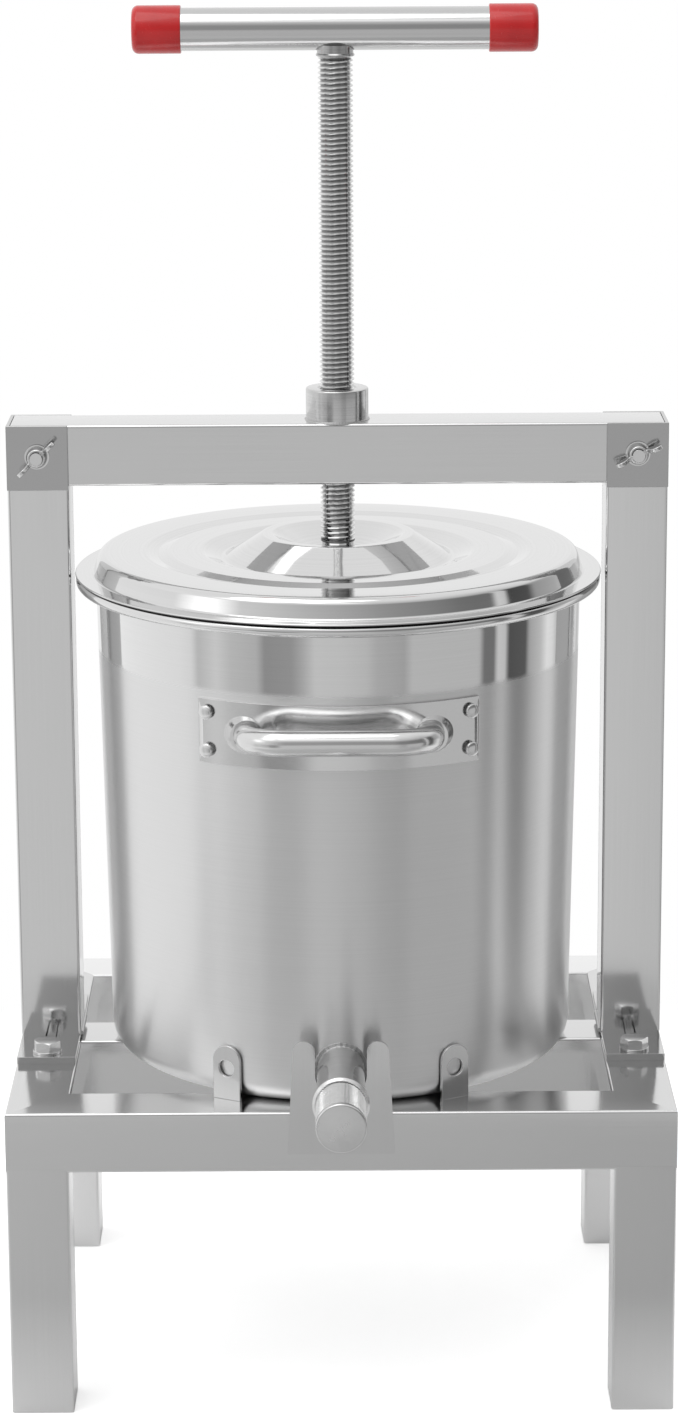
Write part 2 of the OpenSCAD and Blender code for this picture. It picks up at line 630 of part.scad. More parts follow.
cap_body_w = 0.8;
cap_body_r = spout_r + cap_body_w;
cap_flange_r = cap_body_r + cap_flange_w;
cap_edge = 0.8;
module spout_cap() color("lightgray") spout_axis() difference() {
    translate([0, 0, cap_back_y]) rotate_extrude() polygon([[0, 0], [cap_flange_r, 0], [cap_flange_r, flange_t],
        [cap_body_r, flange_t], [cap_body_r, spout_cap_len - cap_edge],
        [cap_body_r - cap_edge, spout_cap_len], [0, spout_cap_len]]);
    translate([0, 0, cap_back_y - over])
        cylinder(r = thread_r + run_gap, h = spout_cap_len - cap_end_wall + over);
}
module cap_gasket() color("dimgray") spout_axis() translate([0, 0, pipe_end_y])
    ring(thread_r - gasket_gap, bore_r, gasket_t);

// The bracket: a plate on the front rail with two fingers beside the spout
bracket_side_gap = 0.8;
bracket_drop = 17;
bracket_flare = 2.3;
finger_rise = 4;
finger_half_w = 4.4;
slot_half_w = spout_r + bracket_side_gap;
finger_x = slot_half_w + finger_half_w;
bracket_top_w = finger_x + finger_half_w;
bracket_foot_w = bracket_top_w + bracket_flare;
bracket_low_z = base_h - bracket_drop;
finger_z = spout_axis_z + spout_r + finger_rise - finger_half_w;
module spout_slot() {
    translate([0, spout_axis_z]) circle(r = slot_half_w);
    translate([-slot_half_w, spout_axis_z]) square([2 * slot_half_w, finger_z]);
}
module spout_bracket() color("silver") translate([0, -base_d / 2, 0]) rotate([90, 0, 0])
    linear_extrude(bracket_t) difference() {
        union() {
            polygon([[-bracket_foot_w, bracket_low_z], [bracket_foot_w, bracket_low_z],
                [bracket_top_w, finger_z], [-bracket_top_w, finger_z]]);
            for (x = [-1, 1]) translate([x * finger_x, finger_z]) circle(r = finger_half_w);
        }
        spout_slot();
    }

// Four upright ears on the rails that keep the pot from sliding
stop_turn = 28;
stop_w = 12.4;
stop_h = 22.6;
stop_t = 1.5;
stop_hole_r = 3.6;
stop_gap = 0.4;
stop_y = pot_r(stop_h) + stop_gap;
module pot_stops() color("silver") for (side = [0, 180], a = [-1, 1])
    rotate([0, 0, side + a * stop_turn]) translate([0, -stop_y, base_h]) rotate([90, 0, 0]) linear_extrude(stop_t)
        difference() {
            union() {
                translate([-stop_w / 2, 0]) square([stop_w, stop_h - stop_w / 2]);
                translate([0, stop_h - stop_w / 2]) circle(d = stop_w, $fn = 96);
            }
            translate([0, stop_h * 0.58]) circle(r = stop_hole_r);
        }

// The filter basket that stands in the pot, drawn as a floor, a wall and a rim that meet edge to edge
basket_r = pot_foot_r - pot_sheet - basket_gap;
basket_z = base_h + pot_sheet + basket_foot_h;
basket_h = pot_rim_z - basket_drop - basket_z;
basket_mid = basket_sheet / 2;
basket_rim_w = 3;
basket_rim_bend_r = 1;
basket_floor_rings = 3;
basket_corner_r = 4;
basket_row_step = (basket_h - 4 * basket_corner_r) / basket_rows;
basket_wall_r = basket_r - basket_mid;
basket_top_z = basket_z + basket_h;
basket_low_joint = [basket_wall_r, basket_z + 1.3 * basket_corner_r, 0];
basket_high_joint = [basket_wall_r, basket_top_z - 3 * basket_rim_bend_r, 0];
module basket_floor() color("lightgray") {
    difference() {
        spun_sheet([[0, basket_z + basket_mid, 0], [basket_wall_r, basket_z + basket_mid, basket_corner_r],
            basket_low_joint], basket_sheet);
        for (j = [1:basket_floor_rings], k = [0:6 * j - 1])
            rotate([0, 0, k * 60 / j]) translate([j * basket_r * 0.27, 0, basket_z - over])
                cylinder(r = basket_hole_r, h = basket_sheet + 2 * over, $fn = 16);
    }
    for (k = [0:2]) rotate([0, 0, 30 + 120 * k]) translate([basket_r * 0.68, 0, basket_z - basket_foot_h])
        cylinder(r = 2 * basket_hole_r, h = basket_foot_h + basket_mid, $fn = 32);
}
module basket_wall() color("lightgray") difference() {
    spun_sheet([basket_low_joint, basket_high_joint], basket_sheet);
    for (row = [0:basket_rows - 1], k = [0:basket_holes - 1])
        translate([0, 0, basket_z + 3 * basket_corner_r + row * basket_row_step])
            rotate([0, 0, (k + (row % 2) / 2) * 360 / basket_holes]) rotate([90, 0, 0])
                translate([0, 0, basket_r - 3 * basket_sheet])
                    cylinder(r = basket_hole_r, h = 5 * basket_sheet, $fn = 16);
}
module basket_rim() color("lightgray") spun_sheet([basket_high_joint,
    [basket_wall_r, basket_top_z - basket_mid, basket_rim_bend_r],
    [basket_r + basket_rim_w, basket_top_z - basket_mid, 0]], basket_sheet);

// The press plate, which rests on the basket's floor, and the cup that takes the screw's tip
press_z = basket_z + basket_sheet;
press_r = basket_r - basket_sheet - plate_gap;
press_edge_r = basket_corner_r;
cup_r = screw_d * 0.9;
cup_room = 1;
cup_bore_r = screw_d / 2 + cup_room;
module press_plate() color("silver") translate([0, 0, press_z]) rotate_extrude($fn = 144)
    polygon([[0, 0], [press_r - press_edge_r, 0], [press_r, press_edge_r], [press_r, press_edge_r + plate_t],
        [press_r - plate_t, press_edge_r + plate_t], [press_r - press_edge_r - plate_t, plate_t], [0, plate_t]]);
module press_cup() color("lightgray") translate([0, 0, press_z + plate_t]) ring(cup_r, cup_bore_r, plate_cup_h);

// The model's origin is on the floor, midway between the spout's cap and the rear handle
rear_reach = bar_reach + bar_d / 2;
y_shift = (cap_front_y - rear_reach) / 2;
module in_place() translate([0, y_shift, 0]) children();

in_place() front_rail();
in_place() rear_rail();
in_place() left_rail();
in_place() right_rail();
in_place() middle_rail();
in_place() front_left_leg();
in_place() front_right_leg();
in_place() rear_left_leg();
in_place() rear_right_leg();
in_place() spout_bracket();
in_place() pot_stops();
in_place() left_post();
in_place() right_post();
in_place() left_foot_plate();
in_place() right_foot_plate();
in_place() foot_bolts();
in_place() foot_washers();
in_place() foot_nuts();
in_place() left_saddle();
in_place() right_saddle();
in_place() beam();
in_place() screw_boss();
in_place() beam_bolts();
in_place() left_washer();
in_place() right_washer();
in_place() left_wing_nut();
in_place() right_wing_nut();
in_place() screw();
in_place() stop_ring();
in_place() handle_tube();
in_place() left_grip_cap();
in_place() right_grip_cap();
in_place() lid();
in_place() lid_washer();
in_place() lid_clip();
in_place() pot_floor();
in_place() pot_wall();
in_place() pot_rim();
in_place() front_handle_plate();
in_place() rear_handle_plate();
in_place() front_handle_bar();
in_place() rear_handle_bar();
in_place() handle_rivets();
in_place() spout_pipe();
in_place() spout_cap();
in_place() cap_gasket();
in_place() basket_floor();
in_place() basket_wall();
in_place() basket_rim();
in_place() press_plate();
in_place() press_cup();
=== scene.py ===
"""Fruit press: finishes, fine shapes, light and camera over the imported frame."""
from __future__ import annotations

import logging
import math
from dataclasses import dataclass, field
from enum import Enum
from typing import Any, Sequence

import bmesh
import bpy
from mathutils import Matrix, Vector


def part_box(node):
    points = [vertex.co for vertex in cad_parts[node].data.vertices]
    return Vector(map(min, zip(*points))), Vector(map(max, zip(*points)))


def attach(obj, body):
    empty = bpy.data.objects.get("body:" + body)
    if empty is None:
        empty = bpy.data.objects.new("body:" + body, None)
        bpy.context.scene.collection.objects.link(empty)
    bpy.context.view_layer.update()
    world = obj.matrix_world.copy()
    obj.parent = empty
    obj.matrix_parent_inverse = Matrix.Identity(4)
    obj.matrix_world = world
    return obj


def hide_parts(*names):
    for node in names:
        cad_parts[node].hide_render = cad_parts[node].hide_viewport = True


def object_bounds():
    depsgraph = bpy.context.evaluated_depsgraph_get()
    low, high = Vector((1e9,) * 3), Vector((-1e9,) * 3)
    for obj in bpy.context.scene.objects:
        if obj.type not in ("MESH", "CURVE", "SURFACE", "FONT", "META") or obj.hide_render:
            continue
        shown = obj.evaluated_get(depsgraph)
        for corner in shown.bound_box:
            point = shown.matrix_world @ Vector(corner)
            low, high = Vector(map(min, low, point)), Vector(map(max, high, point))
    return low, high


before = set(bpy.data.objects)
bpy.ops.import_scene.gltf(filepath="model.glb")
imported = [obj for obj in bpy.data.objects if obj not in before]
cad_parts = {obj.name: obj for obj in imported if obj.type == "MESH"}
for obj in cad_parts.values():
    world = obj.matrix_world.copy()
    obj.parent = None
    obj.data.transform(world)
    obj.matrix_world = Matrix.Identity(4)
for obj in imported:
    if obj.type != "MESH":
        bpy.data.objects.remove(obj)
CAD_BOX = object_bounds()
MM = 0.001
ORIGIN = Vector()
ROUND_STEPS = 96
POT_STEPS = 192
# Nearly all values of a noise pattern lie between these two
NOISE_LOW, NOISE_HIGH = 0.3, 0.7
LOG = logging.getLogger("fruit_press")

Point = tuple[float, float]
Socket = bpy.types.NodeSocket


def middle(node: str) -> Vector:
    """Gives the middle of a node's box.

    Args:
        node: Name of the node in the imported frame.

    Returns:
        The box's centre in metres.
    """
    low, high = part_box(node)
    return (low + high) / 2


AXIS = Vector((0.0, middle("lid").y, 0.0))
ON_AXIS = Matrix.Translation(AXIS)


# Node trees for finishes and shapes


class NodeSheet:
    """Adds nodes and links to one node tree."""

    def __init__(self, tree: bpy.types.NodeTree) -> None:
        """Keeps the tree that nodes are added to.

        Args:
            tree: A material's, the world's or a shape's node tree.
        """
        self.tree = tree

    def add(self, kind: str, values: dict[str | int, Any] | None = None, **settings: Any) -> bpy.types.Node:
        """Adds one node.

        Args:
            kind: Blender's type name of the node.
            values: Input sockets by name or number, each with a value or a socket to link from.
            settings: Properties of the node.

        Returns:
            The new node.
        """
        node = self.tree.nodes.new(kind)
        for key, value in settings.items():
            setattr(node, key, value)
        for key, value in (values or {}).items():
            if isinstance(value, Socket):
                self.tree.links.new(value, node.inputs[key])
            else:
                node.inputs[key].default_value = value
        return node

    def math(self, operation: str, *values: Any) -> Socket:
        """Adds a Math node and gives its result."""
        return self.add("ShaderNodeMath", dict(enumerate(values)), operation=operation).outputs[0]

    def vector(self, operation: str, *values: Any) -> Socket:
        """Adds a Vector Math node and gives its result."""
        node = self.add("ShaderNodeVectorMath", dict(enumerate(values)), operation=operation)
        return node.outputs["Value" if operation == "LENGTH" else "Vector"]

    def split(self, where: Socket) -> bpy.types.NodeOutputs:
        """Gives the X, Y and Z sockets of a vector."""
        return self.add("ShaderNodeSeparateXYZ", {0: where}).outputs

    def mix(self, share: Socket, first: Any, second: Any) -> Socket:
        """Gives the first value at a share of 0 and the second at a share of 1."""
        return self.add("ShaderNodeMix", {"Factor": share, "A": first, "B": second}).outputs["Result"]

    def ramp(self, factor: Socket, stops: Sequence[Point]) -> Socket:
        """Adds a grey ramp.

        Args:
            factor: Socket that runs along the ramp.
            stops: Place from 0 to 1 and grey value of each stop, in order.

        Returns:
            The ramp's colour socket.
        """
        node = self.add("ShaderNodeValToRGB", {"Fac": factor})
        marks = node.color_ramp.elements
        while len(marks) < len(stops):
            marks.new(0.5)
        for mark, (place, _) in zip(marks, stops):
            mark.position = place
        # Colours come after all the places, because a moved stop can trade numbers with its neighbour
        for mark, (_, grey) in zip(marks, stops):
            mark.color = (grey, grey, grey, 1.0)
        return node.outputs["Color"]

    def scale_range(self, value: Socket, low: float, high: float, new_low: float = 0.0,
                    new_high: float = 1.0) -> Socket:
        """Maps one range of a value onto another and clamps it there."""
        node = self.add("ShaderNodeMapRange", {0: value, 1: low, 2: high, 3: new_low, 4: new_high})
        return node.outputs[0]


class FinishSheet(NodeSheet):
    """A material's node tree with one Principled shader."""

    def __init__(self, name: str) -> None:
        """Starts a material.

        Args:
            name: The material's name.
        """
        self.material = bpy.data.materials.new(name)
        self.material.use_nodes = True
        super().__init__(self.material.node_tree)
        self.tree.nodes.clear()
        self.shader = self.add("ShaderNodeBsdfPrincipled")
        self.output = self.add("ShaderNodeOutputMaterial", {"Surface": self.shader.outputs[0]})

    def place(self, centre: Vector = ORIGIN, scale: Sequence[float] = (1.0, 1.0, 1.0)) -> Socket:
        """Gives Object coordinates, moved to a centre and scaled.

        Args:
            centre: Point in metres that becomes the origin.
            scale: Scale along each axis, per metre.

        Returns:
            The coordinates.
        """
        where = self.add("ShaderNodeTexCoord").outputs["Object"]
        moved = self.vector("SUBTRACT", where, tuple(centre))
        sizes = {"Vector": moved, "Scale": [1 / share for share in scale]}
        return self.add("ShaderNodeMapping", sizes, vector_type="TEXTURE").outputs[0]

    def height(self) -> Socket:
        """Gives the height above the floor."""
        return self.split(self.add("ShaderNodeTexCoord").outputs["Object"])["Z"]

    def radius(self, centre: Vector) -> Socket:
        """Gives the distance from an upright axis through a centre."""
        return self.vector("LENGTH", self.vector("MULTIPLY", self.place(centre), (1.0, 1.0, 0.0)))

    def noise(self, where: Socket, scale: float, detail: float = 3.0, rough: float = 0.55) -> Socket:
        """Adds a Noise texture and gives its value."""
        node = self.add("ShaderNodeTexNoise", {"Vector": where, "Scale": scale, "Detail": detail, "Roughness": rough})
        return node.outputs[0]

    def blend(self, first: Socket, share: float, second: Socket) -> Socket:
        """Adds up two patterns, the first with its share and the second with the rest."""
        return self.math("MULTIPLY_ADD", first, share, self.math("MULTIPLY", second, 1 - share))

    def shade(self, pattern: Socket, tone: float, swing: float) -> Socket:
        """Gives a grey that swings to both sides of a tone with a noise pattern."""
        return self.ramp(pattern, [(NOISE_LOW, tone - swing), (NOISE_HIGH, tone + swing)])

    def vary(self, pattern: Socket, low: float, high: float) -> Socket:
        """Gives a value that runs from low to high with a noise pattern."""
        return self.scale_range(pattern, NOISE_LOW, NOISE_HIGH, low, high)

    def dress(self, colour: Socket, roughness: Socket,
              height: Socket | None = None, depth: float = 0.0, **constants: float) -> bpy.types.Material:
        """Joins patterns to the shader.

        Args:
            colour: Socket with the base colour.
            roughness: Socket with the roughness.
            height: Socket with the relief, if any.
            depth: Height in metres that a relief of 1 stands for.
            constants: Fixed values, by socket name with _ for a space.

        Returns:
            The finished material.
        """
        links = self.tree.links
        links.new(colour, self.shader.inputs["Base Color"])
        links.new(roughness, self.shader.inputs["Roughness"])
        for key, value in constants.items():
            self.shader.inputs[key.replace("_", " ")].default_value = value
        if height is not None:
            bump = self.add("ShaderNodeBump", {"Height": height, "Distance": depth, "Strength": 1.0})
            links.new(bump.outputs[0], self.shader.inputs["Normal"])
        return self.material


class Grain(Enum):
    """The way that the brush lines of a sheet or tube run, as scales per metre."""

    ALONG_X = (12.0, 1500.0, 1500.0)
    ALONG_Y = (1500.0, 12.0, 1500.0)
    ALONG_Z = (1500.0, 1500.0, 12.0)
    EVEN = (600.0, 600.0, 600.0)


@dataclass(frozen=True)
class BrushedSteel:
    """Satin stainless steel with brush lines, faint clouds and handling marks."""

    name: str
    grain: Grain
    tone: float = 0.69
    swing: float = 0.015
    roughness: float = 0.12
    roughness_swing: float = 0.02
    depth: float = 8e-7
    cloud_scale: float = 22.0
    mark_scale: float = 160.0
    line_share: float = 0.7
    mark_share: float = 0.35

    def material(self) -> bpy.types.Material:
        """Builds the finish.

        Returns:
            The material.
        """
        sheet = FinishSheet(self.name)
        lines = sheet.noise(sheet.place(scale=self.grain.value), 1.0, detail=4.0, rough=0.6)
        clouds = sheet.noise(sheet.place(), self.cloud_scale, detail=4.0, rough=0.6)
        marks = sheet.noise(sheet.place(), self.mark_scale, detail=2.0, rough=0.5)
        both = sheet.blend(lines, self.line_share, clouds)
        colour = sheet.shade(both, self.tone, self.swing)
        roughness = sheet.vary(sheet.blend(marks, self.mark_share, both), self.roughness - self.roughness_swing,
                               self.roughness + self.roughness_swing)
        return sheet.dress(colour, roughness, lines, self.depth, Metallic=1.0)


@dataclass(frozen=True)
class TurnedSteel:
    """Steel turned on a lathe, with fine rings round its axis.

    A thread has painted shade in its groove, which fades out between two radii.
    """

    name: str
    centre: Vector
    axis: Grain = Grain.ALONG_Z
    tone: float = 0.62
    swing: float = 0.07
    roughness: float = 0.22
    smoother: float = 0.05
    rougher: float = 0.09
    ring_scale: float = 2200.0
    cross_scale: float = 30.0
    mark_scale: float = 240.0
    ring_share: float = 0.6
    depth: float = 5e-6
    groove: tuple[float, float] | None = None
    groove_shade: float = 0.36

    def material(self) -> bpy.types.Material:
        """Builds the finish.

        Returns:
            The material.
        """
        sheet = FinishSheet(self.name)
        cross, ring = self.cross_scale, self.ring_scale
        scales = (cross, cross, ring) if self.axis is Grain.ALONG_Z else (cross, ring, cross)
        rings = sheet.noise(sheet.place(self.centre, scales), 1.0, rough=0.6)
        marks = sheet.noise(sheet.place(), self.mark_scale, rough=0.6)
        colour = sheet.shade(sheet.blend(rings, self.ring_share, marks), self.tone, self.swing)
        # Painted shade: the colour darkens towards the thread's root, where shade falls in the groove
        if self.groove:
            groove_shade = sheet.scale_range(sheet.radius(self.centre), *self.groove, self.groove_shade, 1.0)
            colour = sheet.math("MULTIPLY", colour, groove_shade)
        roughness = sheet.vary(marks, self.roughness - self.smoother, self.roughness + self.rougher)
        return sheet.dress(colour, roughness, rings, self.depth, Metallic=1.0)


@dataclass(frozen=True)
class PotWallSteel:
    """The pot's wall: satin below, with a polished band under the rim."""

    name: str
    band_z: float
    band_blur: float = 1.2 * MM
    tone: float = 0.75
    swing: float = 0.012
    satin: tuple[float, float] = (0.285, 0.32)
    polished: tuple[float, float] = (0.035, 0.075)
    line_scales: tuple[float, float, float] = (14.0, 14.0, 1900.0)
    cloud_scale: float = 14.0
    depth: float = 5e-7
    band_flatness: float = 0.8

    def material(self) -> bpy.types.Material:
        """Builds the finish.

        Returns:
            The material.
        """
        sheet = FinishSheet(self.name)
        around = sheet.noise(sheet.place(AXIS, self.line_scales), 1.0, rough=0.6)
        clouds = sheet.noise(sheet.place(AXIS), self.cloud_scale, detail=4.0, rough=0.6)
        band = sheet.scale_range(sheet.height(), self.band_z - self.band_blur, self.band_z + self.band_blur)
        satin = sheet.vary(sheet.blend(around, 0.5, clouds), *self.satin)
        roughness = sheet.mix(band, satin, sheet.vary(clouds, *self.polished))
        colour = sheet.shade(around, self.tone, self.swing)
        flatter = sheet.math("SUBTRACT", 1.0, sheet.math("MULTIPLY", band, self.band_flatness))
        relief = sheet.math("MULTIPLY", around, flatter)
        material = sheet.dress(colour, roughness, relief, self.depth, Metallic=1.0, Anisotropic=0.9,
                               Anisotropic_Rotation=0.25)
        tangent = sheet.add("ShaderNodeTangent", direction_type="RADIAL", axis="Z")
        sheet.tree.links.new(tangent.outputs[0], sheet.shader.inputs["Tangent"])
        return material


@dataclass(frozen=True)
class LathePolished:
    """Mirror polished sheet with faint circles round the pot's axis, with a painted shadow line where lid and rim
    meet.
    """

    name: str
    seat_z: float
    tone: float = 0.71
    swing: float = 0.015
    roughness: float = 0.05
    smoother: float = 0.015
    rougher: float = 0.03
    depth: float = 3e-7
    circle_scale: float = 900.0
    cloud_scale: float = 20.0
    # Half heights and tone of the painted shadow line at the seat of lid on rim
    seat_shadow_band: tuple[float, float] = (0.2 * MM, 0.42 * MM)
    seat_shadow_tone: float = 0.05

    def material(self) -> bpy.types.Material:
        """Builds the finish.

        Returns:
            The material.
        """
        sheet = FinishSheet(self.name)
        sizes = {"W": sheet.radius(AXIS), "Scale": self.circle_scale, "Detail": 3.0, "Roughness": 0.6}
        circles = sheet.add("ShaderNodeTexNoise", sizes, noise_dimensions="1D").outputs[0]
        clouds = sheet.noise(sheet.place(AXIS), self.cloud_scale, detail=4.0, rough=0.6)
        # Painted shadow: the colour darkens to a thin line at the seat height, where lid and rim meet
        away = sheet.math("ABSOLUTE", sheet.math("SUBTRACT", sheet.height(), self.seat_z))
        colour = sheet.math("MULTIPLY", sheet.shade(circles, self.tone, self.swing),
                            sheet.scale_range(away, *self.seat_shadow_band, self.seat_shadow_tone, 1.0))
        roughness = sheet.vary(sheet.blend(circles, 0.5, clouds), self.roughness - self.smoother,
                               self.roughness + self.rougher)
        return sheet.dress(colour, roughness, circles, self.depth, Metallic=1.0)


@dataclass(frozen=True)
class MouldedPlastic:
    """Glossy plastic with a faint moulding ripple and small scuffs."""

    name: str
    dark: tuple[float, float, float] = (0.50, 0.008, 0.01)
    light: tuple[float, float, float] = (0.60, 0.014, 0.016)
    ripple_scale: float = 90.0
    scuff_scale: float = 700.0
    scuff_range: tuple[float, float] = (0.35, 0.75)
    roughness: tuple[float, float] = (0.2, 0.3)
    depth: float = 1e-5

    def material(self) -> bpy.types.Material:
        """Builds the finish.

        Returns:
            The material.
        """
        sheet = FinishSheet(self.name)
        ripple = sheet.noise(sheet.place(), self.ripple_scale, rough=0.5)
        scuffs = sheet.noise(sheet.place(), self.scuff_scale, detail=4.0, rough=0.65)
        ramp = sheet.add("ShaderNodeValToRGB", {"Fac": ripple})
        for mark, place, colour in zip(ramp.color_ramp.elements, (NOISE_LOW, NOISE_HIGH), (self.dark, self.light)):
            mark.position = place
            mark.color = (*colour, 1.0)
        roughness = sheet.scale_range(scuffs, *self.scuff_range, *self.roughness)
        return sheet.dress(ramp.outputs["Color"], roughness, ripple, self.depth, Coat_Weight=0.15,
                           Coat_Roughness=0.08)


@dataclass(frozen=True)
class Rubber:
    """Grey sealing rubber."""

    name: str
    tone: float = 0.2
    swing: float = 0.04
    speck_scale: float = 1200.0
    roughness: tuple[float, float] = (0.6, 0.8)
    depth: float = 2e-5

    def material(self) -> bpy.types.Material:
        """Builds the finish.

        Returns:
            The material.
        """
        sheet = FinishSheet(self.name)
        specks = sheet.noise(sheet.place(), self.speck_scale, rough=0.6)
        return sheet.dress(sheet.shade(specks, self.tone, self.swing), sheet.vary(specks, *self.roughness),
                           specks, self.depth)


class Palette:
    """Every finish of the press, built once."""

    def __init__(self) -> None:
        """Builds the materials."""
        self.stand_finishes()
        self.pot_finishes()
        self.small_finishes()

    def stand_finishes(self) -> None:
        """Builds the finishes of the tubes and of the plates on them."""
        self.tube_x = BrushedSteel("tube steel, lines left to right", Grain.ALONG_X).material()
        self.tube_y = BrushedSteel("tube steel, lines front to back", Grain.ALONG_Y).material()
        self.tube_z = BrushedSteel("tube steel, upright lines", Grain.ALONG_Z, roughness=0.1).material()
        # The posts, rear rail and rear legs are the same tube steel with a paler tone, a painted brightness for the
        # light they reflect
        self.post = BrushedSteel("post steel, painted brighter", Grain.ALONG_Z, tone=0.75, roughness=0.1).material()
        self.rear_x_painted_bright = BrushedSteel("rear rail steel, painted brighter", Grain.ALONG_X, tone=0.86).material()
        self.rear_z_painted_bright = BrushedSteel("rear leg steel, painted brighter", Grain.ALONG_Z, tone=0.86).material()
        self.saddle = BrushedSteel("saddle steel", Grain.ALONG_Y, tone=0.47).material()
        self.plate = BrushedSteel("plate steel", Grain.ALONG_Y, tone=0.64).material()
        self.upright_plate = BrushedSteel("upright plate steel", Grain.ALONG_Z, tone=0.66, roughness=0.14).material()
        self.bead = BrushedSteel("weld steel", Grain.EVEN, tone=0.5, roughness=0.3, depth=2e-5).material()

    def pot_finishes(self) -> None:
        """Builds the finishes of the pot, its lid and handles, the spout and what is inside."""
        seat_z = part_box("pot_rim")[1].z
        self.lid = LathePolished("lid steel", seat_z).material()
        self.rim = LathePolished("pot rim steel", seat_z, tone=0.74, roughness=0.1).material()
        self.pot = PotWallSteel("pot wall steel", band_z=0.2975).material()
        self.grip = BrushedSteel("pot handle steel", Grain.ALONG_X, tone=0.74, roughness=0.13,
                                 roughness_swing=0.04, depth=2e-6).material()
        self.grip_bar = BrushedSteel("pot handle bar steel", Grain.ALONG_X, tone=0.72, roughness=0.17,
                                     roughness_swing=0.04, depth=2e-6).material()
        self.spout = TurnedSteel("spout steel", middle("spout_pipe"), Grain.ALONG_Y, tone=0.7,
                                 roughness=0.14, ring_scale=900.0, depth=1e-6).material()
        self.cap = TurnedSteel("spout cap steel", middle("spout_cap"), Grain.ALONG_Y, tone=0.7,
                               roughness=0.2, ring_scale=900.0, depth=6e-7).material()
        self.rubber = Rubber("gasket rubber").material()
        self.basket = BrushedSteel("basket steel", Grain.ALONG_Z, tone=0.66, roughness=0.28).material()
        self.press = TurnedSteel("press plate steel", AXIS, roughness=0.26).material()

    def small_finishes(self) -> None:
        """Builds the finishes of the screw, the handle and the fasteners."""
        self.screw = TurnedSteel("screw steel", AXIS, tone=0.76, roughness=0.09, ring_scale=900.0,
                                 depth=3e-7, groove=(5.8 * MM, 6.8 * MM)).material()
        self.neck = TurnedSteel("neck steel", AXIS, tone=0.46, roughness=0.15, depth=8e-7).material()
        self.boss = TurnedSteel("boss steel", AXIS, tone=0.6, roughness=0.13, depth=8e-7).material()
        self.spring = TurnedSteel("spring steel", AXIS, tone=0.16, roughness=0.35).material()
        self.handle = BrushedSteel("handle tube steel", Grain.ALONG_X, tone=0.6, roughness=0.15).material()
        self.plastic = MouldedPlastic("red plastic").material()
        self.fastener = BrushedSteel("fastener steel", Grain.EVEN, tone=0.72, roughness=0.15, depth=2e-6).material()
        self.cast = BrushedSteel("wing nut steel", Grain.EVEN, tone=0.7, roughness=0.2, depth=1.5e-5).material()


# Mesh making


@dataclass
class Shape:
    """Points and faces of one mesh that is being made."""

    points: list[tuple[float, float, float]] = field(default_factory=list)
    faces: list[tuple[int, ...]] = field(default_factory=list)

    def moved(self, place: Matrix) -> "Shape":
        """Gives a copy with its points moved by a matrix."""
        return Shape([tuple(place @ Vector(p)) for p in self.points], list(self.faces))

    def with_shape(self, other: "Shape") -> "Shape":
        """Gives this shape and another as one mesh of loose parts."""
        start = len(self.points)
        return Shape(self.points + other.points, self.faces + [tuple(start + i for i in f) for f in other.faces])

    def mesh(self, name: str) -> bpy.types.Mesh:
        """Makes a Blender mesh whose faces point outwards.

        Args:
            name: The mesh's name.

        Returns:
            The mesh.
        """
        mesh = bpy.data.meshes.new(name)
        mesh.from_pydata(self.points, [], self.faces)
        work = bmesh.new()
        work.from_mesh(mesh)
        bmesh.ops.remove_doubles(work, verts=work.verts, dist=1e-7)
        bmesh.ops.recalc_face_normals(work, faces=work.faces)
        work.to_mesh(mesh)
        work.free()
        return mesh


def smooth(mesh: bpy.types.Mesh, angle: float = 32.0) -> None:
    """Shades a mesh smooth, with sharp edges past an angle in degrees."""
    mesh.shade_smooth()
    mesh.set_sharp_from_angle(angle=math.radians(angle))


def show(name: str, mesh: bpy.types.Mesh, finish: bpy.types.Material, body: str,
         nodes: Sequence[str] = (), angle: float = 32.0) -> bpy.types.Object:
    """Puts a finished mesh in the scene.

    Args:
        name: The piece's name.
        mesh: Its mesh, with its place in its points.
        finish: Its material.
        body: The body that it moves with.
        nodes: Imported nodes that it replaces.
        angle: Angle in degrees past which an edge stays sharp.

    Returns:
        The new object.
    """
    mesh.materials.clear()
    mesh.materials.append(finish)
    smooth(mesh, angle)
    piece = bpy.data.objects.new(name, mesh)
    bpy.context.scene.collection.objects.link(piece)
    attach(piece, body)
    if nodes:
        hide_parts(*nodes)
    LOG.info("%s: %d faces on %s", name, len(mesh.polygons), body)
    return piece


def lathe(outline: Sequence[Point], turns: int = ROUND_STEPS, closed: bool = False) -> Shape:
    """Spins an outline round Z.

    Args:
        outline: Radius and height of each point in metres; open outlines start and end on the axis.
        turns: Number of steps round the axis.
        closed: Whether the outline's end meets its start.

    Returns:
        The closed shape.
    """
    shape = Shape()
    rows: list[list[int]] = []
    for radius, height in outline:
        if radius < 1e-9:
            shape.points.append((0.0, 0.0, height))
            rows.append([len(shape.points) - 1] * turns)
            continue
        start = len(shape.points)
        for k in range(turns):
            angle = 2 * math.pi * k / turns
            shape.points.append((radius * math.cos(angle), radius * math.sin(angle), height))
        rows.append(list(range(start, start + turns)))
    pairs = list(zip(rows, rows[1:])) + ([(rows[-1], rows[0])] if closed else [])
    for low, high in pairs:
        for k in range(turns):
            n = (k + 1) % turns
            corners = [low[k], low[n], high[n], high[k]]
            face = [c for i, c in enumerate(corners) if c != corners[i - 1]]
            if len(face) > 2:
                shape.faces.append(tuple(face))
    return shape


def arc(centre: Point, radius: float, start: float, end: float, steps: int = 8) -> list[Point]:
    """Draws an arc.

    Args:
        centre: The arc's centre.
        radius: Its radius.
        start: Angle of its first point, in degrees.
        end: Angle of its last point, in degrees.
        steps: Number of steps along it.

    Returns:
        Its points in order.
    """
    turns = [math.radians(start + (end - start) * k / steps) for k in range(steps + 1)]
    return [(centre[0] + radius * math.cos(turn), centre[1] + radius * math.sin(turn)) for turn in turns]


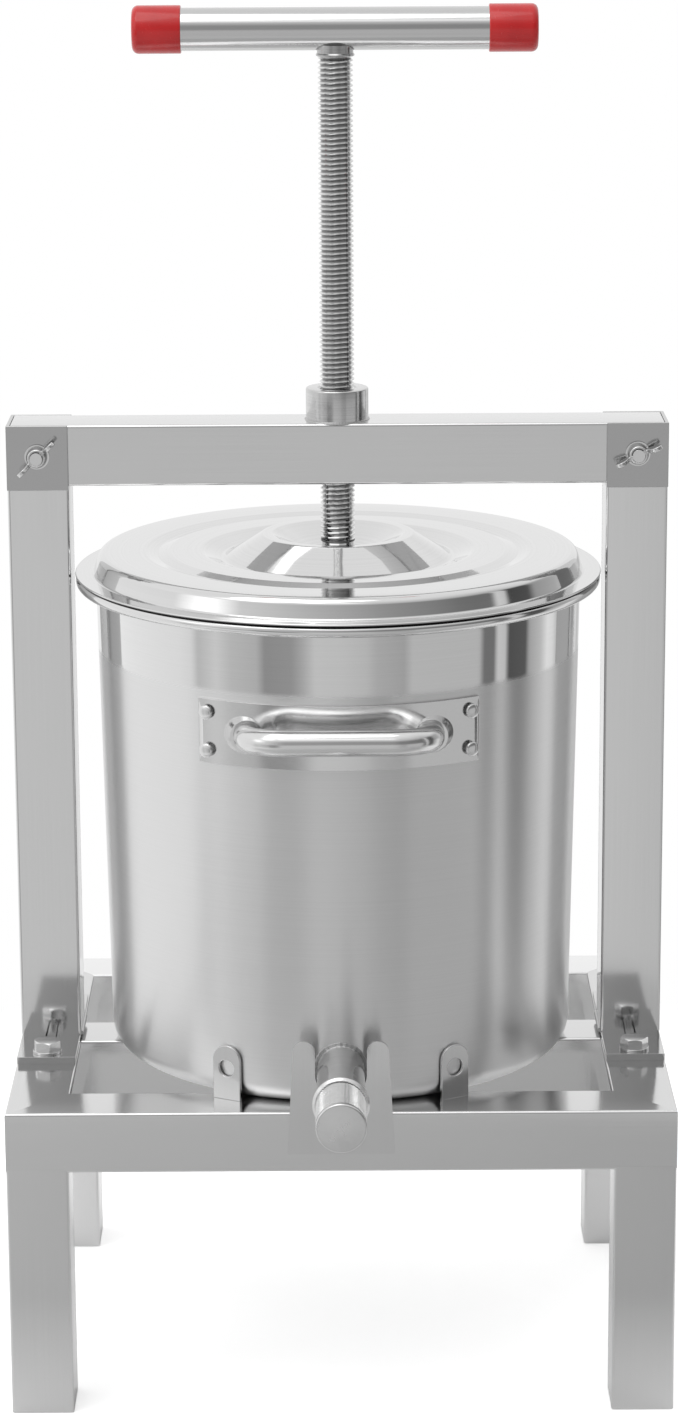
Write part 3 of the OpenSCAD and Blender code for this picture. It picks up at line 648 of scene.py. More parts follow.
@dataclass(frozen=True)
class BentSheet:
    """The middle line of a sheet in section: radius, height and bend radius of each corner, in millimetres."""

    corners: tuple[tuple[float, float, float], ...]
    thickness: float
    steps: int = 10

    def middle_line(self) -> list[Vector]:
        """Draws the middle line with its bends.

        Returns:
            The line's points in order, in millimetres.
        """
        line: list[Vector] = []
        for i, (r, z, bend) in enumerate(self.corners):
            here = Vector((r, z))
            if bend == 0 or i in (0, len(self.corners) - 1):
                line.append(here)
                continue
            back = (Vector(self.corners[i - 1][:2]) - here).normalized()
            ahead = (Vector(self.corners[i + 1][:2]) - here).normalized()
            half = math.acos(max(-1.0, min(1.0, back.dot(ahead)))) / 2
            centre = here + (back + ahead).normalized() * (bend / math.sin(half))
            start = here + back * (bend / math.tan(half)) - centre
            end = here + ahead * (bend / math.tan(half)) - centre
            sweep = math.atan2(start.x * end.y - start.y * end.x, start.dot(end))
            for k in range(self.steps + 1):
                t = sweep * k / self.steps
                line.append(centre + Vector((start.x * math.cos(t) - start.y * math.sin(t),
                                             start.x * math.sin(t) + start.y * math.cos(t))))
        return line

    def outline(self, straight_step: float = 12.0) -> list[Point]:
        """Gives the section's outline in metres, with long straights divided.

        Args:
            straight_step: Longest piece of a straight, in millimetres.

        Returns:
            Radius and height of each point, going round the section.
        """
        line = self.middle_line()
        full = [line[0]]
        for a, b in zip(line, line[1:]):
            parts = max(1, math.ceil((b - a).length / straight_step))
            full.extend(a.lerp(b, k / parts) for k in range(1, parts + 1))
        sides: list[Vector] = []
        for i, here in enumerate(full):
            back = (here - full[i - 1]).normalized() if i else (full[1] - here).normalized()
            ahead = (full[i + 1] - here).normalized() if i < len(full) - 1 else back
            a, b = Vector((-back.y, back.x)), Vector((-ahead.y, ahead.x))
            m = (a + b).normalized()
            sides.append(m / m.dot(a))
        half = self.thickness / 2
        around = [p + s * half for p, s in zip(full, sides)]
        around += [p - s * half for p, s in zip(full[::-1], sides[::-1])]
        return [(max(0.0, p.x) * MM, p.y * MM) for p in around]


def prism(outline: Sequence[Point], low: float, high: float) -> Shape:
    """Makes an upright block.

    Args:
        outline: Its section's points in x and y, in metres, counterclockwise.
        low: Height of its foot.
        high: Height of its top.

    Returns:
        The closed shape.
    """
    n = len(outline)
    points = [(x, y, z) for z in (low, high) for x, y in outline]
    faces = [tuple(reversed(range(n))), tuple(range(n, 2 * n))]
    faces += [(k, (k + 1) % n, n + (k + 1) % n, n + k) for k in range(n)]
    return Shape(points, faces)


def swept_ring(middle_radius: float, wire: float, height: float, start: float, sweep: float) -> Shape:
    """Makes an open ring of round wire that lies level, with domed ends.

    Args:
        middle_radius: Radius of the wire's middle line.
        wire: Radius of the wire.
        height: Height of its middle line.
        start: Angle of its first end, in degrees.
        sweep: Angle that it covers, in degrees.

    Returns:
        The closed shape.
    """
    shape = Shape()
    steps, round_steps = 72, 16
    for k in range(steps + 1):
        a = math.radians(start + sweep * k / steps)
        for j in range(round_steps):
            t = 2 * math.pi * j / round_steps
            r = middle_radius + wire * math.cos(t)
            shape.points.append((r * math.cos(a), r * math.sin(a), height + wire * math.sin(t)))
    for k in range(steps):
        for j in range(round_steps):
            n = (j + 1) % round_steps
            shape.faces.append((k * round_steps + j, k * round_steps + n,
                                (k + 1) * round_steps + n, (k + 1) * round_steps + j))
    shape.faces.append(tuple(range(round_steps)))
    shape.faces.append(tuple(steps * round_steps + j for j in reversed(range(round_steps))))
    return shape


# Geometry Nodes


class ShapeTree(NodeSheet):
    """A Geometry Nodes tree with named sizes, which ends in one material."""

    def __init__(self, name: str, sizes: dict[str, float | int]) -> None:
        """Starts the tree.

        Args:
            name: The tree's name.
            sizes: Named inputs, each with its value; whole numbers make integer inputs.
        """
        super().__init__(bpy.data.node_groups.new(name, "GeometryNodeTree"))
        face = self.tree.interface
        face.new_socket("Geometry", in_out="OUTPUT", socket_type="NodeSocketGeometry")
        face.new_socket("Geometry", in_out="INPUT", socket_type="NodeSocketGeometry")
        self.sizes = sizes
        self.keys: dict[str, str] = {}
        for size, value in sizes.items():
            kind = "NodeSocketInt" if isinstance(value, int) else "NodeSocketFloat"
            self.keys[size] = face.new_socket(size, in_out="INPUT", socket_type=kind).identifier
        self.keys["Finish"] = face.new_socket("Finish", in_out="INPUT", socket_type="NodeSocketMaterial").identifier
        self.inputs = self.tree.nodes.new("NodeGroupInput")
        self.source = self.inputs.outputs["Geometry"]

    def size(self, name: str) -> Socket:
        """Gives the socket of a named size."""
        return self.inputs.outputs[name]

    def flat_grid(self) -> tuple[Socket, Socket, Socket]:
        """Adds a flat grid with as many points as the sizes Columns and Rows say.

        Returns:
            The grid, and each point's place across and along it, from 0 to 1.
        """
        counts = {"Vertices X": self.size("Columns"), "Vertices Y": self.size("Rows")}
        grid = self.add("GeometryNodeMeshGrid", {"Size X": 1.0, "Size Y": 1.0, **counts}).outputs[0]
        spot = self.split(self.add("GeometryNodeInputPosition").outputs[0])
        return grid, self.math("ADD", spot["X"], 0.5), self.math("ADD", spot["Y"], 0.5)

    def wound(self, grid: Socket, share: Socket, radius: Socket, height: Socket,
              centre: Vector = ORIGIN) -> Socket:
        """Winds a flat grid round an upright axis and joins its seam.

        Args:
            grid: The grid.
            share: Share of the way round of each point.
            radius: Distance of each point from the axis.
            height: Height of each point.
            centre: Where the axis stands.

        Returns:
            The closed shape.
        """
        turn = self.math("MULTIPLY", share, 2 * math.pi)
        place = self.add("ShaderNodeCombineXYZ", {
            "X": self.math("ADD", centre.x, self.math("MULTIPLY", radius, self.math("COSINE", turn))),
            "Y": self.math("ADD", centre.y, self.math("MULTIPLY", radius, self.math("SINE", turn))),
            "Z": height}).outputs[0]
        moved = self.add("GeometryNodeSetPosition", {"Geometry": grid, "Position": place}).outputs[0]
        return self.add("GeometryNodeMergeByDistance", {"Geometry": moved, "Distance": 2e-7}).outputs[0]

    def make(self, geometry: Socket, finish: bpy.types.Material,
             source: bpy.types.Object | None = None) -> bpy.types.Mesh:
        """Ends the tree, runs it once and gives its mesh.

        Args:
            geometry: Socket with the shape.
            finish: The material that the tree sets.
            source: Object whose mesh or curve goes in, which is removed afterwards.

        Returns:
            A plain mesh without modifiers.
        """
        real = self.add("GeometryNodeRealizeInstances", {"Geometry": geometry})
        dressed = self.add("GeometryNodeSetMaterial", {"Geometry": real.outputs[0], "Material": self.size("Finish")})
        output = self.tree.nodes.new("NodeGroupOutput")
        self.tree.links.new(dressed.outputs[0], output.inputs["Geometry"])
        carrier = source or bpy.data.objects.new("carrier", bpy.data.meshes.new("carrier"))
        bpy.context.scene.collection.objects.link(carrier)
        modifier = carrier.modifiers.new("shape", "NODES")
        modifier.node_group = self.tree
        for name, value in {**self.sizes, "Finish": finish}.items():
            modifier[self.keys[name]] = value
        graph = bpy.context.evaluated_depsgraph_get()
        mesh = bpy.data.meshes.new_from_object(carrier.evaluated_get(graph), depsgraph=graph)
        carrier.modifiers.remove(modifier)
        bpy.data.objects.remove(carrier)
        return mesh


def line_object(name: str, points: Sequence[Sequence[float]], closed: bool = False) -> bpy.types.Object:
    """Makes an object with a chain of edges through points.

    Args:
        name: The object's name.
        points: Points in metres.
        closed: Whether the last point joins the first.

    Returns:
        The object, not yet in the scene.
    """
    mesh = bpy.data.meshes.new(name)
    count = len(points)
    edges = [(k, k + 1) for k in range(count - 1)] + ([(count - 1, 0)] if closed else [])
    mesh.from_pydata([tuple(p) for p in points], edges, [])
    return bpy.data.objects.new(name, mesh)


def weld_bead(name: str, points: Sequence[Sequence[float]], width: float, finish: bpy.types.Material,
              closed: bool = False, seed: float = 1.0) -> bpy.types.Mesh:
    """Lays a rippled bead of weld along a path.

    Args:
        name: Name of the shape tree.
        points: Points of the path in metres.
        width: Radius of the bead in metres.
        finish: Its material.
        closed: Whether the path is a ring.
        seed: Fixed seed of the ripple.

    Returns:
        The bead's mesh.
    """
    tree = ShapeTree(name, {"Bead radius": width, "Step": width * 0.55, "Ripple": 0.28, "Seed": seed, "Sides": 8,
                            "Steps per radian": 0.62, "Wave share": 0.35, "Clouds per metre": 300.0,
                            "Plain share": 0.85})
    curve = tree.add("GeometryNodeMeshToCurve", {"Mesh": tree.source}).outputs[0]
    even = tree.add("GeometryNodeResampleCurve", {"Curve": curve, "Length": tree.size("Step")}, mode="LENGTH")
    along = tree.add("GeometryNodeSplineParameter").outputs["Length"]
    radian = tree.math("MULTIPLY", tree.size("Step"), tree.size("Steps per radian"))
    wave = tree.math("SINE", tree.math("DIVIDE", along, radian))
    place = tree.math("MULTIPLY_ADD", along, tree.size("Clouds per metre"), tree.size("Seed"))
    cloud = tree.add("ShaderNodeTexNoise", {"W": place, "Scale": 1.0}, noise_dimensions="1D").outputs[0]
    both = tree.math("MULTIPLY_ADD", wave, tree.size("Wave share"), cloud)
    swell = tree.math("ADD", tree.size("Plain share"), tree.math("MULTIPLY", tree.size("Ripple"), both))
    radius = tree.math("MULTIPLY", tree.size("Bead radius"), swell)
    profile = tree.add("GeometryNodeCurvePrimitiveCircle", {"Radius": 1.0, "Resolution": tree.size("Sides")})
    tube = tree.add("GeometryNodeCurveToMesh", {"Curve": even.outputs[0], "Profile Curve": profile.outputs[0],
                                                "Scale": radius, "Fill Caps": True})
    return tree.make(tube.outputs[0], finish, line_object(name, points, closed))


def swept_bar(name: str, points: Sequence[Sequence[float]], radius: float, bend: float,
              finish: bpy.types.Material) -> bpy.types.Mesh:
    """Sweeps a round bar along a path with rounded corners.

    Args:
        name: Name of the shape tree.
        points: Corners of the path in metres.
        radius: Radius of the bar.
        bend: Radius of the bends at the path's corners.
        finish: Its material.

    Returns:
        The bar's mesh.
    """
    tree = ShapeTree(name, {"Bar radius": radius, "Bend radius": bend, "Bend steps": 12, "Sides": 32})
    curve = tree.add("GeometryNodeMeshToCurve", {"Mesh": tree.source}).outputs[0]
    bent = tree.add("GeometryNodeFilletCurve", {"Curve": curve, "Count": tree.size("Bend steps"),
                                                "Radius": tree.size("Bend radius")}, mode="POLY").outputs[0]
    profile = tree.add("GeometryNodeCurvePrimitiveCircle", {"Radius": tree.size("Bar radius"),
                                                            "Resolution": tree.size("Sides")}).outputs[0]
    bar = tree.add("GeometryNodeCurveToMesh", {"Curve": bent, "Profile Curve": profile, "Fill Caps": True})
    return tree.make(bar.outputs[0], finish, line_object(name, points))


def repeated(name: str, shape: bpy.types.Mesh, places: Sequence[Matrix],
             finish: bpy.types.Material) -> bpy.types.Mesh:
    """Repeats one mesh at several places.

    Args:
        name: Name of the shape tree.
        shape: The mesh that is repeated.
        places: A rigid place for each copy.
        finish: The copies' material.

    Returns:
        One mesh with all the copies.
    """
    pattern = bpy.data.objects.new(name + " pattern", shape)
    carrier = line_object(name, [place.translation for place in places])
    for axis, row in zip("XYZ", range(3)):
        turn = carrier.data.attributes.new("turn " + axis, "FLOAT", "POINT")
        for mark, place in zip(turn.data, places):
            mark.value = place.to_euler()[row]
    tree = ShapeTree(name, {"Size": 1.0})
    angles = [tree.add("GeometryNodeInputNamedAttribute", {"Name": "turn " + axis},
                       data_type="FLOAT").outputs[0] for axis in "XYZ"]
    turn = tree.add("ShaderNodeCombineXYZ", dict(enumerate(angles))).outputs[0]
    whole = tree.add("GeometryNodeObjectInfo", {"Object": pattern}).outputs["Geometry"]
    copies = tree.add("GeometryNodeInstanceOnPoints", {
        "Points": tree.source, "Instance": whole, "Scale": tree.size("Size"),
        "Rotation": tree.add("FunctionNodeEulerToRotation", {0: turn}).outputs[0]})
    mesh = tree.make(copies.outputs[0], finish, carrier)
    bpy.data.objects.remove(pattern)
    return mesh


class EdgeSoftener:
    """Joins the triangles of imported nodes, shades them smooth and rounds their edges a little."""

    def __init__(self) -> None:
        """Builds the tree that every node's modifier shares."""
        self.tree = bpy.data.node_groups.new("smooth by angle", "GeometryNodeTree")
        face = self.tree.interface
        face.new_socket("Geometry", in_out="INPUT", socket_type="NodeSocketGeometry")
        angle = face.new_socket("Sharp angle", in_out="INPUT", socket_type="NodeSocketFloat")
        face.new_socket("Geometry", in_out="OUTPUT", socket_type="NodeSocketGeometry")
        self.angle_key = angle.identifier
        sheet = NodeSheet(self.tree)
        inputs = self.tree.nodes.new("NodeGroupInput")
        joined = sheet.add("GeometryNodeMergeByDistance", {"Geometry": inputs.outputs[0], "Distance": 1e-6})
        round_all = sheet.add("GeometryNodeSetShadeSmooth", {"Geometry": joined.outputs[0], "Shade Smooth": True},
                              domain="FACE")
        turn = sheet.add("GeometryNodeInputMeshEdgeAngle").outputs["Unsigned Angle"]
        sharp = sheet.add("FunctionNodeCompare", {0: turn, 1: inputs.outputs[1]}, data_type="FLOAT",
                          operation="GREATER_THAN").outputs[0]
        edges = sheet.add("GeometryNodeSetShadeSmooth",
                          {"Geometry": round_all.outputs[0], "Selection": sharp, "Shade Smooth": False},
                          domain="EDGE")
        output = self.tree.nodes.new("NodeGroupOutput")
        self.tree.links.new(edges.outputs[0], output.inputs[0])

    def carry(self, node: str, finish: bpy.types.Material, edge: float = 0.0, angle: float = 28.0) -> None:
        """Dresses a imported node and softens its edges.

        Args:
            node: The node's name.
            finish: Its material.
            edge: Width of the rounding on its sharp edges, in metres.
            angle: Angle in degrees past which an edge is sharp.
        """
        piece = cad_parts[node]
        if not piece.material_slots:
            piece.data.materials.append(finish)
        for place in piece.material_slots:
            place.material = finish
        modifier = piece.modifiers.new("smooth by angle", "NODES")
        modifier.node_group = self.tree
        modifier[self.angle_key] = math.radians(angle)
        if edge:
            bevel = piece.modifiers.new("rounded edges", "BEVEL")
            bevel.width = edge
            bevel.segments = 2
            bevel.limit_method = "ANGLE"
            bevel.angle_limit = math.radians(angle)
            bevel.harden_normals = True
            bevel.use_clamp_overlap = True
        LOG.info("%s: carried over", node)


# Sub-assemblies


@dataclass
class TubeFrame:
    """The welded stand: rails, legs, posts, the plates on them and the beam between the posts."""

    palette: Palette
    softener: EdgeSoftener
    plate_edge: float = 0.3 * MM
    bead: float = 0.9 * MM
    bead_lift_share: float = 0.2
    tube_corner: float = 1.2 * MM
    corner_steps: int = 6
    proud: float = 0.03 * MM
    weld_drop: float = 0.4 * MM
    weld_rise: float = 1.5 * MM

    def dress(self) -> None:
        """Dresses the tubes along their own length, and the plates."""
        p = self.palette
        for finish, edge, nodes in (
                (p.tube_x, 0.0, ("front_rail", "middle_rail", "beam")), (p.rear_x_painted_bright, 0.0, ("rear_rail",)),
                (p.tube_y, 0.0, ("left_rail", "right_rail")), (p.tube_z, 0.0, ("front_left_leg", "front_right_leg")),
                (p.post, 0.0, ("left_post", "right_post")), (p.rear_z_painted_bright, 0.0, ("rear_left_leg", "rear_right_leg")),
                (p.plate, self.plate_edge, ("left_foot_plate", "right_foot_plate")),
                (p.upright_plate, self.plate_edge, ("spout_bracket", "pot_stops")),
                (p.saddle, self.plate_edge, ("left_saddle", "right_saddle"))):
            for node in nodes:
                self.softener.carry(node, finish, edge)

    def post_beads(self) -> None:
        """Lays a weld along the inner side and back of each post's foot; the rest is ground flush."""
        lift, end = self.bead * self.bead_lift_share, 2 * self.bead
        for side in ("left", "right"):
            low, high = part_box(f"{side}_post")
            inner, outer = (high.x + lift, low.x) if side == "left" else (low.x - lift, high.x)
            last = outer + math.copysign(end, inner - outer)
            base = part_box(f"{side}_foot_plate")[1].z
            points = [(inner, low.y + end, base), (inner, high.y + lift, base), (last, high.y + lift, base)]
            mesh = weld_bead(f"{side}_post_bead", points, self.bead, self.palette.bead, seed=low.x)
            show(f"{side}_post_bead", mesh, self.palette.bead, "frame")

    def ground_welds(self) -> None:
        """Fills the joint between each leg and its rails, ground flush with the tubes."""
        shape, inset = Shape(), self.proud - self.tube_corner
        for node in ("front_left_leg", "front_right_leg", "rear_left_leg", "rear_right_leg"):
            low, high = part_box(node)
            outline = []
            for quarter, (x, y) in enumerate(((1, 1), (-1, 1), (-1, -1), (1, -1))):
                corner = ((high.x if x > 0 else low.x) + x * inset, (high.y if y > 0 else low.y) + y * inset)
                outline += arc(corner, self.tube_corner, quarter * 90, quarter * 90 + 90, self.corner_steps)
            outline = [(min(max(x, CAD_BOX[0].x), CAD_BOX[1].x), y) for x, y in outline]
            shape = shape.with_shape(prism(outline, high.z - self.weld_drop, high.z + self.weld_rise))
        show("ground_welds", shape.mesh("ground_welds"), self.palette.tube_x, "frame", [], 30)

    def build(self) -> None:
        """Builds and dresses the whole stand."""
        self.dress()
        self.post_beads()
        self.ground_welds()


@dataclass
class PressScrew:
    """The screw with its neck, the boss in the beam and the stop ring above the lid."""

    palette: Palette
    diameter: float = 14 * MM
    pitch: float = 2 * MM
    depth: float = 1.1 * MM
    sides: int = 64
    # A turn's rows after its root: the crest's start and end and the next root, as shares of the pitch
    row_shares: tuple[float, float, float] = (0.36, 0.56, 0.92)
    spigot_share: float = 0.58
    tip_height: float = 3.4 * MM
    tip_round: float = 1.2 * MM
    groove_height: float = 1.18 * MM
    wire: float = 0.55 * MM
    ring_start: float = 115.0
    ring_sweep: float = 310.0
    neck_height: float = 5.0 * MM
    neck_flare: float = 0.7 * MM
    neck_sink: float = 2.2 * MM
    neck_gap: float = 0.35 * MM
    neck_top_share: float = 0.3
    # Share of the flare and height above the thread of each point of the neck's lip
    lip: tuple[Point, ...] = ((0.5, 0.5 * MM), (1.0, 0.8 * MM), (1.0, 1.3 * MM), (0.4, 1.8 * MM))
    boss_edge: float = 0.7 * MM
    shank_share: float = 0.74
    bore_gap: float = 0.2 * MM
    bore_chamfer: float = 0.8 * MM
    boss_bead: float = 0.55 * MM

    def heights(self) -> tuple[float, float, float]:
        """Works out the screw's heights.

        Returns:
            The heights of the tip's foot, the thread's start and its end.
        """
        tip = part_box("stop_ring")[0].z + self.wire - self.groove_height / 2 - self.tip_height
        handle = middle("handle_tube").z
        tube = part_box("handle_tube")[1].z - handle
        return tip, tip + self.tip_height + self.groove_height, handle - tube - self.neck_height + self.neck_sink

    def thread(self, low: float, high: float) -> bpy.types.Mesh:
        """Cuts the helical thread.

        Args:
            low: Height of its lower end.
            high: Height of its upper end.

        Returns:
            The closed thread.
        """
        turns, rows = math.ceil((high - low) / self.pitch) + 2, len(self.row_shares) + 1
        tree = ShapeTree("screw thread", {"Radius": self.diameter / 2, "Depth": self.depth, "Pitch": self.pitch,
                                          "Low": low, "High": high, "Columns": self.sides + 1,
                                          "Rows": turns * rows + 1})
        grid, share, along = tree.flat_grid()
        last = tree.math("SUBTRACT", tree.size("Rows"), 1.0)
        row = tree.math("ROUND", tree.math("MULTIPLY", along, last))
        whole = tree.math("FLOOR", tree.math("DIVIDE", row, float(rows)))
        part = tree.math("SUBTRACT", row, tree.math("MULTIPLY", whole, float(rows)))
        is_row = [tree.math("COMPARE", part, float(k), 0.1) for k in range(1, rows)]
        shift = whole
        for flag, place in zip(is_row, self.row_shares):
            shift = tree.math("MULTIPLY_ADD", flag, place, shift)
        # The first turn and a half lie below the thread, so that its cut end is full
        rise = tree.math("ADD", shift, tree.math("SUBTRACT", share, 1.5))
        height = tree.math("MULTIPLY_ADD", rise, tree.size("Pitch"), tree.size("Low"))
        height = tree.math("MAXIMUM", tree.math("MINIMUM", height, tree.size("High")), tree.size("Low"))
        root = tree.math("SUBTRACT", 1.0, tree.math("ADD", is_row[0], is_row[1]))
        radius = tree.math("SUBTRACT", tree.size("Radius"), tree.math("MULTIPLY", tree.size("Depth"), root))
        inside = tree.math("MULTIPLY", tree.math("GREATER_THAN", row, 0.5),
                           tree.math("LESS_THAN", row, tree.math("SUBTRACT", last, 0.5)))
        radius = tree.math("MULTIPLY", radius, inside)
        return tree.make(tree.wound(grid, share, radius, height, AXIS), self.palette.screw)

    def tip(self, tip: float, low: float, root: float) -> Shape:
        """Turns the plain tip, with the groove for the ring.

        Args:
            tip: Height of the tip's foot.
            low: Height of the thread's lower end.
            root: Radius of the thread's root.

        Returns:
            The closed tip.
        """
        bottom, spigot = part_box("screw")[0].z, self.diameter / 2 * self.spigot_share
        radius, top = (self.diameter - self.depth) / 2, tip + self.tip_height
        corner = arc((radius - self.tip_round, tip + self.tip_round), self.tip_round, -90, 0, 6)
        return lathe([(0, bottom), (spigot, bottom), (spigot, tip), (radius - self.tip_round, tip)] + corner
                     + [(radius, top), (root, top), (root, low + self.pitch), (0, low + self.pitch)], self.sides)

    def neck(self, high: float, root: float) -> Shape:
        """Turns the neck under the handle, with a lip at its lower end.

        Args:
            high: Height of the thread's upper end.
            root: Radius of the thread's root.

        Returns:
            The closed neck.
        """
        radius, foot, top = self.diameter / 2, high - self.pitch / 2, high + self.neck_height
        lip = [(radius + self.neck_flare * share, high + rise) for share, rise in self.lip]
        return lathe([(0, foot), (root, foot), (root, high + self.neck_gap)] + lip
                     + [(radius + self.neck_flare * self.neck_top_share, top), (0, top)], self.sides)

    def build(self) -> None:
        """Builds the screw, boss and ring."""
        tip, low, high = self.heights()
        root = self.diameter / 2 - self.depth
        steel = self.palette.screw
        show("screw_thread", self.thread(low, high), steel, "screw", ["screw"], 40)
        ends = self.tip(tip, low, root).moved(ON_AXIS)
        show("screw_ends", ends.mesh("screw_ends"), steel, "screw")
        neck = self.neck(high, root).moved(ON_AXIS)
        show("screw_neck", neck.mesh("screw_neck"), self.palette.neck, "screw")
        groove = tip + self.tip_height + self.groove_height / 2
        ring = swept_ring(root + self.wire, self.wire, groove, self.ring_start, self.ring_sweep).moved(ON_AXIS)
        show("snap_ring", ring.mesh("snap_ring"), self.palette.spring, "screw", ["stop_ring"])
        self.boss()

    def boss(self) -> None:
        """Turns the boss on the beam, with a chamfered top and a bore."""
        low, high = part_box("screw_boss")
        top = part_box("beam")[1].z
        r, edge = (high.x - low.x) / 2, self.boss_edge
        bore, shank = self.diameter / 2 + self.bore_gap, r * self.shank_share
        outline = [(bore, low.z), (shank, low.z), (shank, top), (r - edge / 2, top), (r, top + edge / 2),
                   (r, high.z - edge)] + arc((r - edge, high.z - edge), edge, 0, 90, 5)
        outline += [(bore + self.bore_chamfer, high.z), (bore, high.z - self.bore_chamfer)]
        shape = lathe(outline, closed=True).moved(ON_AXIS)
        show("beam_boss", shape.mesh("beam_boss"), self.palette.boss, "frame", ["screw_boss"])
        points = [(x, y, top) for x, y in arc((AXIS.x, AXIS.y), r, 0, 360, self.sides)[:-1]]
        mesh = weld_bead("boss_bead", points, self.boss_bead, self.palette.bead, closed=True, seed=2.0)
        show("boss_bead", mesh, self.palette.bead, "frame")


@dataclass
class CrossHandle:
    """The tube across the screw's top and its two red end caps."""

    palette: Palette
    softener: EdgeSoftener
    end_round: float = 2.6 * MM
    lip_round: float = 0.5 * MM
    socket_depth: float = 2 * MM
    crown: float = 0.05 * MM
    crown_share: float = 0.45
    nub: float = 1.3 * MM
    nub_side_share: float = 0.2
    nub_height_share: float = 0.25

    def cap(self, side: int) -> None:
        """Moulds one end cap.

        Args:
            side: -1 for the left cap, 1 for the right one.
        """
        node = "left_grip_cap" if side < 0 else "right_grip_cap"
        low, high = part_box(node)
        r, nub_height = (high.z - low.z) / 2, self.nub * self.nub_height_share
        length = high.x - low.x - nub_height
        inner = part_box("handle_tube")[1].z - middle("handle_tube").z
        outline = [(0.0, length - self.socket_depth), (inner, length - self.socket_depth), (inner, 0.0),
                   (r - self.lip_round, 0.0)]
        outline += arc((r - self.lip_round, self.lip_round), self.lip_round, -90, 0, 4)
        outline += arc((r - self.end_round, length - self.end_round), self.end_round, 0, 84, 8)
        outline += [(r * self.crown_share, length - self.crown), (self.nub, length),
                    (self.nub, length + self.nub * self.nub_side_share), (0.0, length + nub_height)]
        mouth = Vector((low.x if side > 0 else high.x, middle(node).y, middle(node).z))
        place = Matrix.Translation(mouth) @ Matrix.Rotation(side * math.pi / 2, 4, "Y")
        shape = lathe(outline, 72).moved(place)
        show(node + "_moulding", shape.mesh(node), self.palette.plastic, "screw", [node])

    def build(self) -> None:
        """Builds both caps and dresses the tube."""
        self.softener.carry("handle_tube", self.palette.handle)
        for side in (-1, 1):
            self.cap(side)


@dataclass
class PotLid:
    """The domed-edge lid with its groove and the raised ring at its centre; sizes in millimetres."""

    palette: Palette
    sheet: float = 0.8
    roll: float = 0.5
    roll_rise: float = 0.05
    edge_in: float = 0.4
    edge_rise: float = 0.1
    step_width: float = 2.6
    step_bend: float = 1.6
    edge_bend: float = 3.2
    groove_share: float = 0.745
    groove_width: float = 5.0
    groove_depth: float = 1.2
    groove_bend: float = 2.0
    cone_share: float = 0.473
    cone_run: float = 9.0
    cone_depth: float = 3.5
    cone_bend: float = 4.0
    crest_share: float = 0.312
    crest_width: float = 4.0
    crest_height: float = 6.5
    crest_bend: float = 1.6
    recess: float = 13.3
    recess_depth: float = 0.5
    recess_bend: float = 3.0
    bore: float = 4.2

    def build(self) -> None:
        """Spins the lid."""
        wall = (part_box("pot_wall")[1].x - AXIS.x) / MM
        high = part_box("lid")[1]
        rim, foot = (high.x - AXIS.x) / MM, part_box("pot_rim")[1].z / MM + self.sheet / 2
        flat = high.z / MM - self.crest_height - self.sheet / 2
        cone, crest, groove = wall * self.cone_share, wall * self.crest_share, wall * self.groove_share
        seat, step, top = flat - self.recess_depth, wall + self.sheet, flat + self.crest_height
        section = BentSheet((
            (rim - self.edge_in, foot + self.edge_rise, 0), (step, foot, self.step_bend),
            (step - self.step_width, flat, self.edge_bend), (groove + self.groove_width, flat, self.groove_bend),
            (groove, flat - self.groove_depth, self.groove_bend),
            (groove - self.groove_width, flat, self.groove_bend), (cone + self.cone_run, flat, self.cone_bend),
            (cone, flat - self.cone_depth, self.cone_bend), (crest, top, self.crest_bend),
            (crest - self.crest_width, top, self.crest_bend), (self.recess, seat, self.recess_bend),
            (self.bore, seat, 0)), self.sheet)
        roll = lathe(arc_ring((rim - self.roll, foot + self.roll_rise), self.roll, 12), POT_STEPS, closed=True)
        shape = lathe(section.outline(), POT_STEPS, closed=True).with_shape(roll).moved(ON_AXIS)
        show("spun_lid", shape.mesh("spun_lid"), self.palette.lid, "lid", ["lid"], 40)


def arc_ring(centre: Point, radius: float, steps: int) -> list[Point]:
    """Gives a full circle's points in metres from a centre and radius in millimetres."""
    return [(x * MM, z * MM) for x, z in arc(centre, radius, 0, 360, steps)[:-1]]


@dataclass
class StockPot:
    """The pot: floor, wall, rolled rim; sizes in millimetres."""

    palette: Palette
    sheet: float = 0.8
    corner: float = 8.0
    flare_share: float = 1.03
    rim_bend: float = 2.2
    bead: float = 2.4

    def build(self) -> None:
        """Spins the pot."""
        low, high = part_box("pot_floor")[0] / MM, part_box("pot_rim")[1] / MM
        foot_r, wall_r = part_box("pot_floor")[1].x / MM, (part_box("pot_wall")[1].x - AXIS.x) / MM
        top_r = foot_r + (wall_r - foot_r) * self.flare_share
        half, roll_r = self.sheet / 2, high.x - self.bead
        section = BentSheet((
            (0.0, low.z + half, 0), (foot_r - half, low.z + half, self.corner),
            (top_r - half, high.z - half, self.rim_bend), (roll_r, high.z - half, 0)), self.sheet)
        body = lathe(section.outline(6.0), POT_STEPS, closed=True).moved(ON_AXIS)
        roll = lathe(arc_ring((roll_r, high.z - self.bead), self.bead, 24), POT_STEPS, closed=True).moved(ON_AXIS)
        show("pot_body", body.mesh("pot_body"), self.palette.pot, "frame",
             ["pot_floor", "pot_wall"], 40)
        show("pot_rolled_rim", roll.mesh("pot_rolled_rim"), self.palette.rim, "frame",
             ["pot_rim"], 40)


